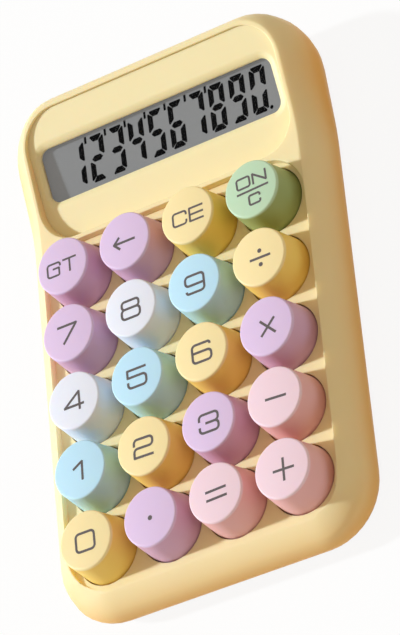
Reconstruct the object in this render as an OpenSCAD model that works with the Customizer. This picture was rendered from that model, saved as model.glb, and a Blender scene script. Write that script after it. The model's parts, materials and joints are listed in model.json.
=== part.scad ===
// Desk calculator with a tilted display and twenty round keys.
// The origin is on the desk, under the middle of the case; +Y runs to the display end.

/* [Keys] */
// Diameter of a key where it leaves the deck
key_base_d = 18.1; // [14:0.1:22]
// Diameter of a key's flat top
key_top_d = 15.9; // [12:0.1:18]
// Height of a key's top above the deck
key_h = 9.6; // [6:0.1:14]
// How far a key goes down
key_travel = 2.2; // [1:0.1:3]
// Wall of a key cap
key_wall = 1.3; // [1:0.1:2]
// Rounding round a key's top
key_edge_r = 0.5; // [0.2:0.1:1]
// Free space between two keys in a row
col_gap = 1.9; // [1.4:0.1:6]
// Free space between two rows of keys
row_gap = 1.6; // [1.4:0.1:6]
// Diameter of the stem inside a key
stem_d = 5; // [3:0.1:6]
// Thickness of the lugs that hold a key under the deck
lug_t = 1.2; // [0.8:0.1:2]
// How far a lug reaches past its key
lug_reach = 1.4; // [0.8:0.1:2]
// Width of a lug
lug_w = 4; // [2:0.1:6]

/* [Case] */
// Free deck beside the keys
deck_side = 2.2; // [1:0.1:6]
// Free deck in front of the keys
deck_front = 1.6; // [1:0.1:6]
// Free deck behind the keys
deck_back = 1.6; // [1:0.1:6]
// Height of the rim over the deck
rim_h = 2.2; // [1:0.1:4]
// Rounding of the sunk deck's corners
deck_corner_r = 11.5; // [6:0.5:12]
// How far the side falls away outside the rim
side_reach = 6.3; // [4:0.1:9]
// How far the front falls away outside the deck
front_reach = 6.7; // [4:0.1:12]
// How far the back falls away outside the rim
back_reach = 3.9; // [3:0.1:9]
// Rounding of the case's corners seen from above
case_corner_r = 17; // [16:0.5:22]
// Rounding of the case's lower edge
low_r = 6.4; // [5:0.1:7]
// Thickness of the bottom cover, up to the seam
cover_t = 2.2; // [2:0.1:3]
// Wall of the upper shell
wall_t = 2; // [1.5:0.1:2.5]
// Height of the cover's locating lip
lip_h = 2; // [1:0.1:3]
// Thickness of the cover's locating lip
lip_t = 1.2; // [0.8:0.1:1.6]
// Thickness of the key deck
deck_t = 2.2; // [1.5:0.1:3]

/* [Head] */
// Width of the ridge between the keys and the display
ridge_w = 3; // [2.5:0.1:6]
// Depth of the display panel, measured along the desk
panel_run = 34.6; // [30:0.1:50]
// Rim between the panel's back edge and the back slope
back_rim = 1; // [0.6:0.1:4]
// How far the rim climbs from the keys to the panel's back edge
head_rise = 7.65; // [6:0.05:14]
// Where the climb starts, behind the panel's front edge
head_start = 4; // [3:0.1:8]
// Length of the soft bend where the climb starts
head_bend = 10; // [4:0.5:12]
// How far the side's widest line climbs towards the panel's back edge
tail_rise = 7.5; // [4:0.1:8]
// How far the side draws in under that line beside the panel's back edge
tail_run = 10; // [6:0.1:11]
// How far the panel lies under the rim at its front edge
panel_sink_front = 4.7; // [3:0.1:5]
// How far the panel lies under the rim at its back edge
panel_sink_back = 0.8; // [0.4:0.1:2]
// Distance from the panel's sides to the rim's edge
panel_side = 1.3; // [0.8:0.1:4]
// Thickness of the panel
panel_t = 1.6; // [1.2:0.1:2]
// Rounding of the panel's front corners
panel_front_r = 10; // [4:0.5:12]
// Rounding of the panel's back corners
panel_back_r = 10.5; // [6:0.5:15]
// Ledge that the panel lies on
ledge_w = 1.8; // [1:0.1:2.5]
// Thickness of that ledge
ledge_t = 1.6; // [1:0.1:2]

/* [Display] */
// Panel face beside the opening
opening_side = 3.2; // [2.5:0.1:8]
// Panel face in front of the opening
opening_front = 11.4; // [8:0.1:16]
// Panel face behind the opening
opening_back = 10.1; // [6:0.1:14]
// Rounding of the opening's corners
opening_r = 3; // [1:0.1:5]
// Slope round the opening
opening_bevel = 0.9; // [0.4:0.1:1.2]
// Thickness of the clear window
window_t = 0.8; // [0.5:0.1:1.2]
// Thickness of the display cell
lcd_t = 2; // [1.4:0.1:2.6]
// How far window and cell reach past the opening
lcd_lap = 1.2; // [0.8:0.1:1.4]
// Contact ledge of the display cell
lcd_ledge = 3; // [2:0.1:4]
// Width of the flat ribbon
ribbon_w = 56; // [30:1:64]
// Thickness of the flat ribbon
ribbon_t = 0.3; // [0.2:0.05:0.5]

/* [Board] */
// Space under the board
board_gap = 1.5; // [1.4:0.1:3]
// Thickness of the board
board_t = 1.6; // [1:0.1:2]
// Thickness of the silicone sheet
mat_t = 0.9; // [0.6:0.1:1.4]
// Diameter of a dome at its foot
dome_d = 11; // [8:0.1:13]
// Diameter of a dome's top
dome_top_d = 6.4; // [5:0.1:7]
// Wall of a dome
dome_wall = 0.7; // [0.4:0.1:1]
// Rounding of the board's back corners
board_corner_r = 2; // [1:0.5:4]
// Diameter of the chip's cover
chip_d = 11; // [8:0.5:14]
// Height of the chip's cover
chip_h = 1.5; // [1:0.1:2]

/* [Power] */
// Diameter of the cell
battery_d = 10.5; // [9:0.1:11]
// Length of the cell
battery_l = 44.5; // [40:0.1:46]
// Diameter of the cell's button
button_d = 3.8; // [3:0.1:5]
// Length of the cell's button
button_l = 0.9; // [0.6:0.1:1.2]
// Room for the leaf spring
spring_room = 3.4; // [2.4:0.1:5]
// Height of the dimple that meets the cell's button
dimple_h = 0.6; // [0.4:0.1:1]
// Thickness of the contact metal
contact_t = 0.4; // [0.3:0.05:0.6]
// Width of a contact
contact_w = 8; // [5:0.1:9]
// Height of a contact's tail
tail_h = 1.6; // [1:0.1:2.4]
// Length of a tail's foot on the board
tail_foot_l = 3; // [2:0.1:5]
// Wall of the battery well
well_t = 1.3; // [1:0.1:2]
// Thickness of the well's floor over the door
well_floor_t = 1; // [0.8:0.1:1.1]
// How far the door's tongues reach into the cover
tongue_w = 1.5; // [1:0.1:2]
// Height of the door's tongues
tongue_t = 0.9; // [0.7:0.1:1]
// Overlap of the door and the well in front of the cell
door_lap = 4; // [2:0.1:6]
// Length of a finger groove
groove_l = 16; // [10:0.5:24]
// Number of finger grooves in the door
groove_count = 5; // [3:1:6]
// Width of a finger groove
groove_w = 0.8; // [0.5:0.1:1]
// Depth of a finger groove
groove_depth = 0.5; // [0.3:0.1:0.6]

/* [Fasteners and feet] */
// Height of the feet under the case
foot_h = 1; // [0.6:0.1:2]
// Diameter of a foot
foot_d = 7; // [5:0.1:8]
// How deep a foot is let into the cover
foot_inlet = 0.6; // [0.3:0.1:0.8]
// Distance of the feet from the case's sides
foot_side = 13.5; // [13:0.1:16]
// Distance of the feet from the case's ends
foot_end = 18; // [17:0.1:22]
// Diameter of a screw boss
boss_d = 5.2; // [4.6:0.1:5.6]
// How far the side bosses stand outside the keys
boss_out = 0.2; // [0:0.1:1]
// Diameter of a screw's shank
screw_d = 2; // [1.6:0.1:2.4]
// Diameter of a screw's head
head_d = 4; // [3:0.1:4.2]
// Height of a screw's head
head_h = 1.2; // [0.8:0.1:1.4]
// Length of a screw under its head
screw_l = 5; // [4:0.1:6]
// How far a screw's hole runs on past its tip
pilot_more = 0.5; // [0.2:0.1:1]
// How deep a case screw's head lies in the cover
seat_depth = 1.5; // [1.4:0.1:1.8]
// Wall of the pad round a case screw
pad_wall = 0.8; // [0.6:0.1:1]
// Where the back screws stand round the case's corners, in degrees from the side
corner_boss_angle = 80; // [74:1:82]

/* [Fits] */
// Gap between a key and its hole
key_clear = 0.35; // [0.25:0.05:0.6]
// Gap between a pressed key and the silicone sheet
press_clear = 0.4; // [0.3:0.05:0.8]
// Gap between a key's lugs and the deck
lug_clear = 0.3; // [0.2:0.05:0.6]
// Gap between a stem and its dome
dome_clear = 0.1; // [0.05:0.05:0.3]
// Gap round the panel
panel_clear = 0.15; // [0.1:0.05:0.4]
// Gap between the cover's lip and the upper shell
lip_clear = 0.2; // [0.15:0.05:0.4]
// Gap round the battery door
door_clear = 0.25; // [0.2:0.05:0.4]
// Gap round the cell
battery_clear = 0.35; // [0.2:0.05:0.6]
// Gap round the bosses that pass the board and the sheet
boss_clear = 0.4; // [0.3:0.05:0.8]
// Gap round a screw's shank
screw_clear = 0.1; // [0.05:0.05:0.2]

/* [Hidden] */

// Colours of the mouldings
cream = [0.96, 0.89, 0.70];
lilac = [0.88, 0.78, 0.89];
mint = [0.74, 0.86, 0.70];
white = [0.92, 0.91, 0.95];
blue = [0.74, 0.89, 0.97];
pink = [0.94, 0.83, 0.86];

// Colours of the other pieces
window_clear = [0.85, 0.88, 0.88, 0.4];
display_grey = [0.55, 0.56, 0.56];
ribbon_copper = [0.75, 0.55, 0.25];
board_green = [0.16, 0.42, 0.26];
chip_black = [0.1, 0.1, 0.1];
silicone = [0.82, 0.83, 0.85];
steel = [0.7, 0.7, 0.72];
rubber_grey = [0.25, 0.25, 0.26];
cell_grey = [0.35, 0.37, 0.4];
contact_metal = [0.8, 0.8, 0.78];

// Smoothness of round faces and of the case's loft
$fn = 64;
corner_steps = 10;
side_rings = 8;
low_rings = 4;
bend_steps = 4;
arc_step = 15;
hull_fn = 32;
cut = 0.05;
over = 1;
tall = 40;

// Grid of the keys
columns = 4;
rows = 5;
col_pitch = key_base_d + col_gap;
row_pitch = key_base_d + row_gap;
key_r = key_base_d / 2;
hole_r = key_r + key_clear;
lug_angles = [45, 135];

// Plan of the case, front to back
deck_half_w = (columns - 1) * col_pitch / 2 + key_r + deck_side;
case_w = 2 * (deck_half_w + side_reach);
keys_l = (rows - 1) * row_pitch + key_base_d;
case_l = front_reach + deck_front + keys_l + deck_back + ridge_w + panel_run + back_rim + back_reach;
case_front_y = -case_l / 2;
case_back_y = case_l / 2;
deck_front_y = case_front_y + front_reach;
first_row_y = deck_front_y + deck_front + keys_l - key_r;
deck_back_y = first_row_y + key_r + deck_back;
panel_front_y = deck_back_y + ridge_w;
panel_back_y = panel_front_y + panel_run;

// Heights, from the desk up
seam_z = foot_h + cover_t;
side_z = foot_h + low_r;
board_z = seam_z + board_gap;
board_top_z = board_z + board_t;
mat_top_z = board_top_z + mat_t;
dome_top_z = mat_top_z + key_travel + press_clear;
stem_z = dome_top_z + dome_clear;
lug_z = mat_top_z + key_travel + press_clear;
lug_top_z = lug_z + lug_t;
deck_under_z = lug_top_z + lug_clear;
deck_z = deck_under_z + deck_t;
rim_z = deck_z + rim_h;
key_top_z = deck_z + key_h;

// The panel's own plane, from its back edge down to its front edge
panel_back_z = rim_z + head_rise - panel_sink_back;
panel_front_z = rim_z - panel_sink_front;
panel_tilt = atan((panel_back_z - panel_front_z) / panel_run);
panel_l = panel_run / cos(panel_tilt);
panel_w = 2 * (deck_half_w - panel_side);
opening_w = panel_w - 2 * opening_side;
opening_y0 = opening_front - panel_l;
opening_y1 = -opening_back;
lcd_front_y = opening_y0 - lcd_lap - lcd_ledge;
window_z = -panel_t - window_t;
lcd_z = window_z - lcd_t;

// The climb of the rim towards the back
climb_y = panel_front_y + head_start;
climb_slope = head_rise / (panel_back_y - climb_y);
half_bend = head_bend / 2;
front_fall_l = case_corner_r - front_reach;

// The battery well
battery_z = seam_z + battery_clear + battery_d / 2;
lip_inset = wall_t + lip_clear;
well_back_y = case_back_y - low_inset(seam_z, case_back_y, [0, 1]) - lip_inset - boss_clear;
battery_y = well_back_y - well_t - battery_clear - battery_d / 2;
well_half_l = (spring_room + battery_l + dimple_h + contact_t) / 2;
battery_x = spring_room - well_half_l;
well_front_y = battery_y - battery_d / 2 - battery_clear;
well_wall_z = battery_z;
well_floor_z = seam_z + door_clear;
well_top_z = well_floor_z + well_floor_t;
door_half_w = well_half_l + well_t;
well_outer_w = door_half_w + tongue_w + well_t;
door_front_y = well_front_y - door_lap;
tongue_z = seam_z - door_clear - tongue_t;
contact_z = well_top_z;
contact_h = battery_z + battery_d / 4 - contact_z;

// The board and its screws
board_half_w = deck_half_w - deck_side - boss_clear;
board_front_y = deck_front_y + wall_t;
board_back_y = well_front_y - well_t - boss_clear;
mat_back_y = deck_back_y - wall_t;
ribbon_y = from_panel(lcd_front_y - over, lcd_z + lcd_t / 2)[0];
pilot_r = screw_d / 2 + screw_clear;
boss_r = boss_d / 2;
board_boss_at = [for (c = [1, 3], r = [1, 2, 4]) [(c - columns / 2) * col_pitch, gap_y(r)]];
side_boss_x = (columns - 1) * col_pitch / 2 + key_r + boss_out;
pad_r = boss_r + pad_wall;
corner_look = [cos(corner_boss_angle), sin(corner_boss_angle)];
corner_inset = low_inset(seam_z, case_back_y, corner_look) + lip_inset;
corner_boss_out = case_corner_r - corner_inset - pad_r;
corner_boss_x = case_w / 2 - case_corner_r + corner_boss_out * corner_look.x;
corner_boss_y = case_back_y - case_corner_r + corner_boss_out * corner_look.y;
case_boss_at = [for (x = [-1, 1])
    each [[x * side_boss_x, gap_y(1)], [x * side_boss_x, gap_y(rows - 1)],
        [x * corner_boss_x, corner_boss_y]]];
pad_top_z = seam_z + board_gap / 2;
screw_seat_z = foot_h + seat_depth;
foot_at = [for (x = [-1, 1], y = [-1, 1]) [x * (case_w / 2 - foot_side), y * (case_l / 2 - foot_end)]];

// Middle of the gap in front of the row that is r-th from the back
function gap_y(r) = first_row_y - (r - 0.5) * row_pitch;

// Centre of a key, by column from the left and row from the back
function key_at(c, r) = [(c - (columns - 1) / 2) * col_pitch, first_row_y - r * row_pitch];

// Soft step from 0 to 1
function soft_step(u) = let (v = min(max(u, 0), 1)) v * v * (3 - 2 * v);

// Height of the rim along the case: low at the front edge, flat beside the keys, climbing behind them
function climb(y) = y < climb_y - half_bend ? 0
    : y < climb_y + half_bend ? climb_slope * pow(y - climb_y + half_bend, 2) / (4 * half_bend)
    : climb_slope * (y - climb_y);
function rim_line(y) = deck_z + rim_h * soft_step((y - deck_front_y) / front_fall_l) + climb(y);

// Ceiling inside the upper shell: under the deck, then under the rim
function ceiling_line(y) = y < panel_front_y ? deck_under_z : rim_line(y) - wall_t;

// Height of the side's widest line, which climbs with the rim
function head_share(y) = climb(y) / head_rise;
function side_line(y) = side_z + tail_rise * head_share(y);

// How far the flank under that line draws in, for a face that looks along n: in all, and at height z
function flank_run(y, n) = low_r + (tail_run - low_r) * head_share(y) * n.x * n.x;
function low_inset(z, y, n) = let (u = (side_line(y) - z) / (side_line(y) - foot_h))
    flank_run(y, n) * (1 - sqrt(1 - u * u));

// How far the side falls away, for a face that looks along n
function reach(n) = side_reach * n.x * n.x + (n.y < 0 ? front_reach : back_reach) * n.y * n.y;

// Swelling of the side from its widest line, 0, to the rim, 1
swell_share = 0.2;
function swell(t) = sqrt(1 - pow(1 - t * swell_share, 2)) / sqrt(1 - pow(1 - swell_share, 2));

// Stations round the plan, each a centre and the way it looks; the left half mirrors the right half
function corner_stations(y, a0) = [for (i = [0 : corner_steps]) let (a = a0 + 90 * i / corner_steps)
    [[case_w / 2 - case_corner_r, y], [cos(a), sin(a)]]];
function bend_stations() = [for (i = [0 : bend_steps]) let (u = i / bend_steps)
    [[case_w / 2 - case_corner_r, climb_y - half_bend + head_bend * u], [1, 0]]];
right_half = concat(corner_stations(case_front_y + case_corner_r, -90), bend_stations(),
    corner_stations(case_back_y - case_corner_r, 0));
half_count = len(right_half);
left_half = [for (i = [half_count - 1 : -1 : 0]) let (s = right_half[i])
    [[-s[0].x, s[0].y], [-s[1].x, s[1].y]]];
stations = concat(right_half, left_half);
station_count = len(stations);

// Point of a station at height z, drawn in by inset, and the y of its outermost point
function drawn_in(s, inset, z) = let (p = s[0] + s[1] * (case_corner_r - inset)) [p.x, p.y, z];
function outer_y(s) = s[0].y + s[1].y * case_corner_r;

// One ring at height z round the flank, and one at height z that stands upright inside the seam
function edge_ring(z) = [for (s = stations) drawn_in(s, low_inset(z, outer_y(s), s[1]), z)];
function seam_ring(inset, z) = [for (s = stations)
    drawn_in(s, low_inset(seam_z, outer_y(s), s[1]) + inset, z)];

// One ring on the flank, a share u of the way from the seam to the widest line, inside a wall
function flank_ring(u, skin) = [for (s = stations)
    let (y = outer_y(s), z = seam_z + (side_line(y) - seam_z) * u)
    drawn_in(s, low_inset(z, y, s[1]) + skin, z)];

// One ring on the swelling side, a share t of the way to the rim, inside a wall of thickness skin
function swell_ring(t, skin) = [for (s = stations)
    let (p = s[0] + s[1] * (case_corner_r - skin - t * reach(s[1])))
    let (top = skin > 0 ? ceiling_line(p.y) : rim_line(p.y), base = side_line(outer_y(s)))
    [p.x, p.y, base + (top - base) * swell(t)]];

// Solid through a list of rings, closed by strips from side to side
module loft(rings) {
    n = station_count;
    last = (len(rings) - 1) * n;
    walls = [for (r = [0 : len(rings) - 2], i = [0 : n - 1]) let (a = r * n, b = a + n, j = (i + 1) % n)
        each [[a + i, b + i, b + j], [a + i, b + j, a + j]]];
    lids = [for (i = [0 : half_count - 2]) let (k = n - 1 - i)
        each [[last + k, last + k - 1, last + i + 1, last + i], [i, i + 1, k - 1, k]]];
    polyhedron(points = [for (ring = rings) each ring], faces = concat(walls, lids), convexity = 6);
}

// Rounded outline from y0 to y1, with its own rounding in front and behind
module round_outline(w, y0, y1, r0, r1) {
    polygon([[-w / 2 + r0, y0], [w / 2 - r0, y0], [w / 2, y0 + r0], [w / 2, y1 - r1],
        [w / 2 - r1, y1], [-w / 2 + r1, y1], [-w / 2, y1 - r1], [-w / 2, y0 + r0]]);
    for (x = [-1, 1]) {
        translate([x * (w / 2 - r0), y0 + r0])
            circle(r0);
        translate([x * (w / 2 - r1), y1 - r1])
            circle(r1);
    }
}

// Everything in the panel's plane: z is out of its face, y = 0 is its back edge
module on_panel() {
    translate([0, panel_back_y, panel_back_z])
        rotate([panel_tilt, 0, 0])
            children();
}

module panel_outline(grow) {
    round_outline(panel_w + 2 * grow, -panel_l - grow, grow, panel_front_r + grow, panel_back_r + grow);
}

// Outline of the display opening, grown all round
module opening_outline(grow) {
    round_outline(opening_w + 2 * grow, opening_y0 - grow, opening_y1 + grow, opening_r + grow,
        opening_r + grow);
}

// Outline of the display cell, grown all round
module lcd_outline(grow) {
    translate([-opening_w / 2 - lcd_lap - grow, lcd_front_y - grow])
        square([opening_w + 2 * (lcd_lap + grow), opening_y1 + lcd_lap - lcd_front_y + 2 * grow]);
}

// Outer body of the upper shell
module shell_body() {
    low = [for (i = [0 : low_rings]) flank_ring(i / low_rings, 0)];
    side = [for (i = [1 : side_rings]) swell_ring(i / side_rings, 0)];
    loft(concat(low, side));
}

// Hollow of the upper shell, without the tray that carries the panel
module shell_hollow() {
    low = [seam_ring(wall_t, seam_z - over), each [for (u = [0 : 0.5 : 1]) flank_ring(u, wall_t)]];
    side = [for (i = [1 : side_rings / 2]) swell_ring(2 * i / side_rings, wall_t)];
    difference() {
        loft(concat(low, side));
        panel_tray();
        shell_bosses();
    }
}

// Tray under the panel: its wall and the ledge, with room for the display cell
module panel_tray() {
    on_panel()
        translate([0, 0, -panel_t - ledge_t])
            difference() {
                linear_extrude(tall)
                    panel_outline(ledge_w);
                translate([0, 0, -cut])
                    linear_extrude(tall + 2 * cut) {
                        panel_outline(-ledge_w);
                        lcd_outline(panel_clear);
                    }
            }
}

// Bosses under the deck, down to the board, and at the sides, down to the cover
module shell_bosses() {
    for (p = board_boss_at)
        translate([p.x, p.y, board_top_z])
            cylinder(h = tall, r = boss_r);
    for (p = case_boss_at)
        translate([p.x, p.y, pad_top_z])
            cylinder(h = tall, r = boss_r);
}

// Hole in the deck for each key, and room under it for the key's lugs
module key_holes() {
    for (c = [0 : columns - 1], r = [0 : rows - 1])
        translate(key_at(c, r)) {
            translate([0, 0, deck_under_z - over])
                cylinder(h = tall, r = hole_r);
            translate([0, 0, mat_top_z])
                cylinder(h = deck_under_z - mat_top_z, r = hole_r + lug_reach);
        }
}

module boss_pilots() {
    for (p = board_boss_at)
        translate([p.x, p.y, board_top_z - cut])
            cylinder(h = screw_l - board_t + pilot_more + cut, r = pilot_r);
    for (p = case_boss_at)
        translate([p.x, p.y, pad_top_z - cut])
            cylinder(h = screw_seat_z + screw_l + pilot_more - pad_top_z + cut, r = pilot_r);
}

module top_housing() {
    color(cream)
        difference() {
            shell_body();
            shell_hollow();
            translate([0, 0, deck_z])
                linear_extrude(tall)
                    round_outline(2 * deck_half_w, deck_front_y, deck_back_y, deck_corner_r, deck_corner_r);
            key_holes();
            on_panel()
                translate([0, 0, -panel_t])
                    linear_extrude(tall)
                        panel_outline(panel_clear);
            boss_pilots();
        }
}

// Plate of the cover with its rounded edge
module cover_plate() {
    loft([for (i = [0 : low_rings]) edge_ring(foot_h + cover_t * i / low_rings)]);
}

// Upright ring just inside the upper shell
module cover_lip() {
    difference() {
        loft([seam_ring(lip_inset, seam_z - cut), seam_ring(lip_inset, seam_z + lip_h)]);
        loft([seam_ring(lip_inset + lip_t, seam_z - over), seam_ring(lip_inset + lip_t, seam_z + tall)]);
        for (p = case_boss_at)
            translate([p.x, p.y, seam_z])
                cylinder(h = tall, r = boss_r + boss_clear);
        door_box(well_outer_w, door_front_y - well_t, seam_z, seam_z + tall);
    }
}

// Box from side to side of the door, with the given front edge and heights
module door_box(half_w, y0, z0, z1) {
    translate([-half_w, y0, z0])
        cube([2 * half_w, case_back_y + tall - y0, z1 - z0]);
}

// Walls and floor round the cell, over the door
module battery_well() {
    y0 = door_front_y - well_t;
    difference() {
        translate([-well_outer_w, y0, seam_z - cut])
            cube([2 * well_outer_w, well_back_y - y0, well_top_z - seam_z + cut]);
        translate([-well_half_l, well_front_y, foot_h])
            cube([2 * well_half_l, well_back_y - well_t - well_front_y, tall]);
        door_box(door_half_w + tongue_w + door_clear, door_front_y - door_clear, foot_h, well_floor_z);
    }
    difference() {
        translate([-well_half_l - well_t, well_front_y - well_t, well_top_z - cut])
            cube([2 * (well_half_l + well_t), well_back_y - well_front_y + well_t,
                well_wall_z - well_top_z]);
        translate([-well_half_l, well_front_y, well_top_z - over])
            cube([2 * well_half_l, well_back_y - well_t - well_front_y, tall]);
        contact_slots();
    }
}

// Passages for the contact tails through the well's front wall
module contact_slots() {
    slot_w = contact_t + boss_clear;
    for (x = [-well_half_l, well_half_l - slot_w])
        translate([x, well_front_y - well_t - cut, board_top_z - boss_clear])
            cube([slot_w, well_t + 2 * cut, tall]);
}

module cover_screw_cuts() {
    for (p = case_boss_at)
        translate([p.x, p.y, foot_h - cut]) {
            cylinder(h = tall, r = pilot_r + screw_clear);
            cylinder(h = seat_depth + cut, r = head_d / 2 + screw_clear);
        }
}

module foot_inlets() {
    for (p = foot_at)
        translate([p.x, p.y, foot_h - cut])
            cylinder(h = foot_inlet + cut, r = foot_d / 2 + screw_clear);
}

module bottom_cover() {
    color(cream)
        difference() {
            union() {
                cover_plate();
                cover_lip();
                for (p = case_boss_at)
                    translate([p.x, p.y, seam_z - cut])
                        cylinder(h = pad_top_z - seam_z + cut, r = pad_r);
                battery_well();
            }
            door_box(door_half_w + door_clear, door_front_y - door_clear, foot_h - cut, well_floor_z);
            door_box(door_half_w + tongue_w + door_clear, door_front_y - door_clear, tongue_z - door_clear,
                well_floor_z);
            translate([-well_half_l, well_front_y, foot_h])
                cube([2 * well_half_l, well_back_y - well_t - well_front_y, well_top_z]);
            cover_screw_cuts();
            foot_inlets();
        }
}

module battery_door() {
    color(cream)
        difference() {
            union() {
                intersection() {
                    cover_plate();
                    door_box(door_half_w, door_front_y, foot_h, seam_z - door_clear);
                }
                intersection() {
                    cover_plate();
                    door_box(door_half_w + tongue_w, door_front_y, tongue_z, seam_z - door_clear);
                }
            }
            for (i = [0 : groove_count - 1])
                translate([-groove_l / 2, door_front_y + door_lap + 2 * i * groove_w, foot_h - cut])
                    cube([groove_l, groove_w, groove_depth + cut]);
        }
}

module display_panel() {
    color(cream)
        on_panel()
            difference() {
                translate([0, 0, -panel_t])
                    linear_extrude(panel_t)
                        panel_outline(0);
                translate([0, 0, -panel_t - cut])
                    linear_extrude(panel_t + 2 * cut)
                        opening_outline(0);
                translate([0, 0, -opening_bevel])
                    opening_slope();
            }
}

// Slope round the opening, as a frustum over the opening's outline
module opening_slope() {
    hull() {
        linear_extrude(cut)
            opening_outline(0, $fn = hull_fn);
        translate([0, 0, opening_bevel])
            linear_extrude(cut)
                opening_outline(opening_bevel, $fn = hull_fn);
    }
}

module display_window() {
    color(window_clear)
        on_panel()
            translate([0, 0, window_z])
                linear_extrude(window_t)
                    opening_outline(lcd_lap);
}

module lcd_glass() {
    color(display_grey)
        on_panel()
            translate([0, 0, lcd_z])
                difference() {
                    linear_extrude(lcd_t)
                        lcd_outline(0);
                    translate([-case_w / 2, lcd_front_y - cut, lcd_t / 2])
                        cube([case_w, lcd_ledge + cut, lcd_t]);
                }
}

// Place in the case of a point in the panel's plane
function from_panel(y, z) = [panel_back_y + y * cos(panel_tilt) - z * sin(panel_tilt),
    panel_back_z + y * sin(panel_tilt) + z * cos(panel_tilt)];

module display_ribbon() {
    seat_z = lcd_z + lcd_t / 2;
    a = from_panel(lcd_front_y + lcd_ledge, seat_z);
    b = from_panel(lcd_front_y - over, seat_z);
    a1 = from_panel(lcd_front_y + lcd_ledge, seat_z + ribbon_t);
    b1 = from_panel(lcd_front_y - over - ribbon_t, seat_z + ribbon_t);
    foot_y = b.x - ribbon_t;
    color(ribbon_copper)
        translate([-ribbon_w / 2, 0, 0])
            rotate([90, 0, 90])
                linear_extrude(ribbon_w)
                    polygon([a, b, [foot_y + ribbon_t, board_top_z], [foot_y - lcd_ledge, board_top_z],
                        [foot_y - lcd_ledge, board_top_z + ribbon_t],
                        [foot_y, board_top_z + ribbon_t], b1, a1]);
}

module main_board() {
    color(board_green)
        difference() {
            translate([0, 0, board_z])
                linear_extrude(board_t)
                    round_outline(2 * board_half_w, board_front_y, board_back_y, deck_corner_r,
                        board_corner_r);
            for (p = board_boss_at)
                translate([p.x, p.y, board_z - cut])
                    cylinder(h = board_t + 2 * cut, r = pilot_r);
            for (p = case_boss_at)
                translate([p.x, p.y, board_z - cut])
                    cylinder(h = board_t + 2 * cut, r = pad_r + boss_clear);
        }
}

// Low round drop over the bare chip
module chip_cover() {
    crown = [for (a = [0 : arc_step : 90]) [chip_d / 2 * cos(a), chip_h * sin(a)]];
    color(chip_black)
        translate([col_pitch / 2, (ribbon_y + board_back_y) / 2, board_top_z])
            rotate_extrude()
                polygon(concat([[0, 0]], crown));
}

module dome_mat() {
    color(silicone)
        difference() {
            union() {
                translate([0, 0, board_top_z])
                    linear_extrude(mat_t)
                        round_outline(2 * board_half_w, board_front_y, mat_back_y, deck_corner_r,
                            board_corner_r);
                for (c = [0 : columns - 1], r = [0 : rows - 1])
                    translate([key_at(c, r).x, key_at(c, r).y, mat_top_z - cut])
                        cylinder(h = dome_top_z - mat_top_z + cut, d1 = dome_d, d2 = dome_top_d);
            }
            for (c = [0 : columns - 1], r = [0 : rows - 1])
                translate([key_at(c, r).x, key_at(c, r).y, board_top_z - cut])
                    cylinder(h = dome_top_z - dome_wall - board_top_z + cut, d1 = dome_d - 2 * dome_wall,
                        d2 = dome_top_d - 2 * dome_wall);
            for (p = board_boss_at)
                translate([p.x, p.y, board_top_z - cut])
                    cylinder(h = mat_t + 2 * cut, r = boss_r + boss_clear);
            for (p = case_boss_at)
                translate([p.x, p.y, board_top_z - cut])
                    cylinder(h = mat_t + 2 * cut, r = boss_r + boss_clear);
        }
}

// Screw with its head's outer face down, seated at height z
module screw(p, z) {
    translate([p.x, p.y, z - head_h])
        cylinder(h = head_h, d = head_d);
    translate([p.x, p.y, z - cut])
        cylinder(h = screw_l + cut, d = screw_d);
}

module case_screws() {
    color(steel)
        for (p = case_boss_at)
            screw(p, screw_seat_z);
}

module board_screws() {
    color(steel)
        for (p = board_boss_at)
            screw(p, board_z);
}

module rubber_feet() {
    color(rubber_grey)
        for (p = foot_at)
            translate([p.x, p.y, 0])
                cylinder(h = foot_h + foot_inlet, d = foot_d);
}

module battery() {
    color(cell_grey)
        translate([battery_x, battery_y, battery_z])
            rotate([0, 90, 0]) {
                cylinder(h = battery_l - button_l, d = battery_d);
                cylinder(h = battery_l, d = button_d);
            }
}

// Contact plate at the right end of the well, with a tail and a foot on the board
module contact_plate() {
    tail_y = board_back_y - tail_foot_l;
    translate([well_half_l - contact_t, battery_y - contact_w / 2, contact_z])
        cube([contact_t, contact_w, contact_h]);
    translate([well_half_l - contact_t, tail_y, board_top_z])
        cube([contact_t, battery_y - tail_y, tail_h]);
    translate([well_half_l - tail_foot_l, tail_y, board_top_z])
        cube([tail_foot_l, tail_foot_l, contact_t]);
}

module battery_plate() {
    color(contact_metal) {
        contact_plate();
        translate([well_half_l - contact_t - dimple_h, battery_y, battery_z])
            rotate([0, 90, 0])
                cylinder(h = dimple_h + cut, d1 = button_d / 2, d2 = button_d);
    }
}

// Leaf spring with a bowed tongue that presses on the cell's flat end
module battery_spring() {
    bow = spring_room - contact_t / 2 - battery_clear / 2;
    half_h = contact_w / 4;
    color(contact_metal)
        mirror([1, 0, 0]) {
            contact_plate();
            translate([well_half_l - contact_t / 2, battery_y - half_h, battery_z])
                rotate([-90, 0, 0])
                    linear_extrude(2 * half_h)
                        polygon([[0, half_h], [-bow, contact_t], [-bow, -contact_t], [0, -half_h],
                            [0, contact_t - half_h], [contact_t - bow, 0], [0, half_h - contact_t]]);
        }
}

// Section of a key from its axis outwards; the skirt runs straight through the deck
module key_section() {
    top_r = key_top_d / 2;
    slope = (key_r - top_r) / key_h;
    edge = [for (a = [90 : -arc_step : 0])
        [top_r - key_edge_r + key_edge_r * cos(a), key_top_z - key_edge_r + key_edge_r * sin(a)]];
    roof_z = key_top_z - key_wall;
    polygon(concat([[0, key_top_z]], edge, [[key_r, deck_z], [key_r, lug_z], [key_r - key_wall, lug_z],
        [key_r - key_wall, deck_z], [top_r - key_wall + slope * key_wall, roof_z], [stem_d / 2, roof_z],
        [stem_d / 2, stem_z], [0, stem_z]]));
}

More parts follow.
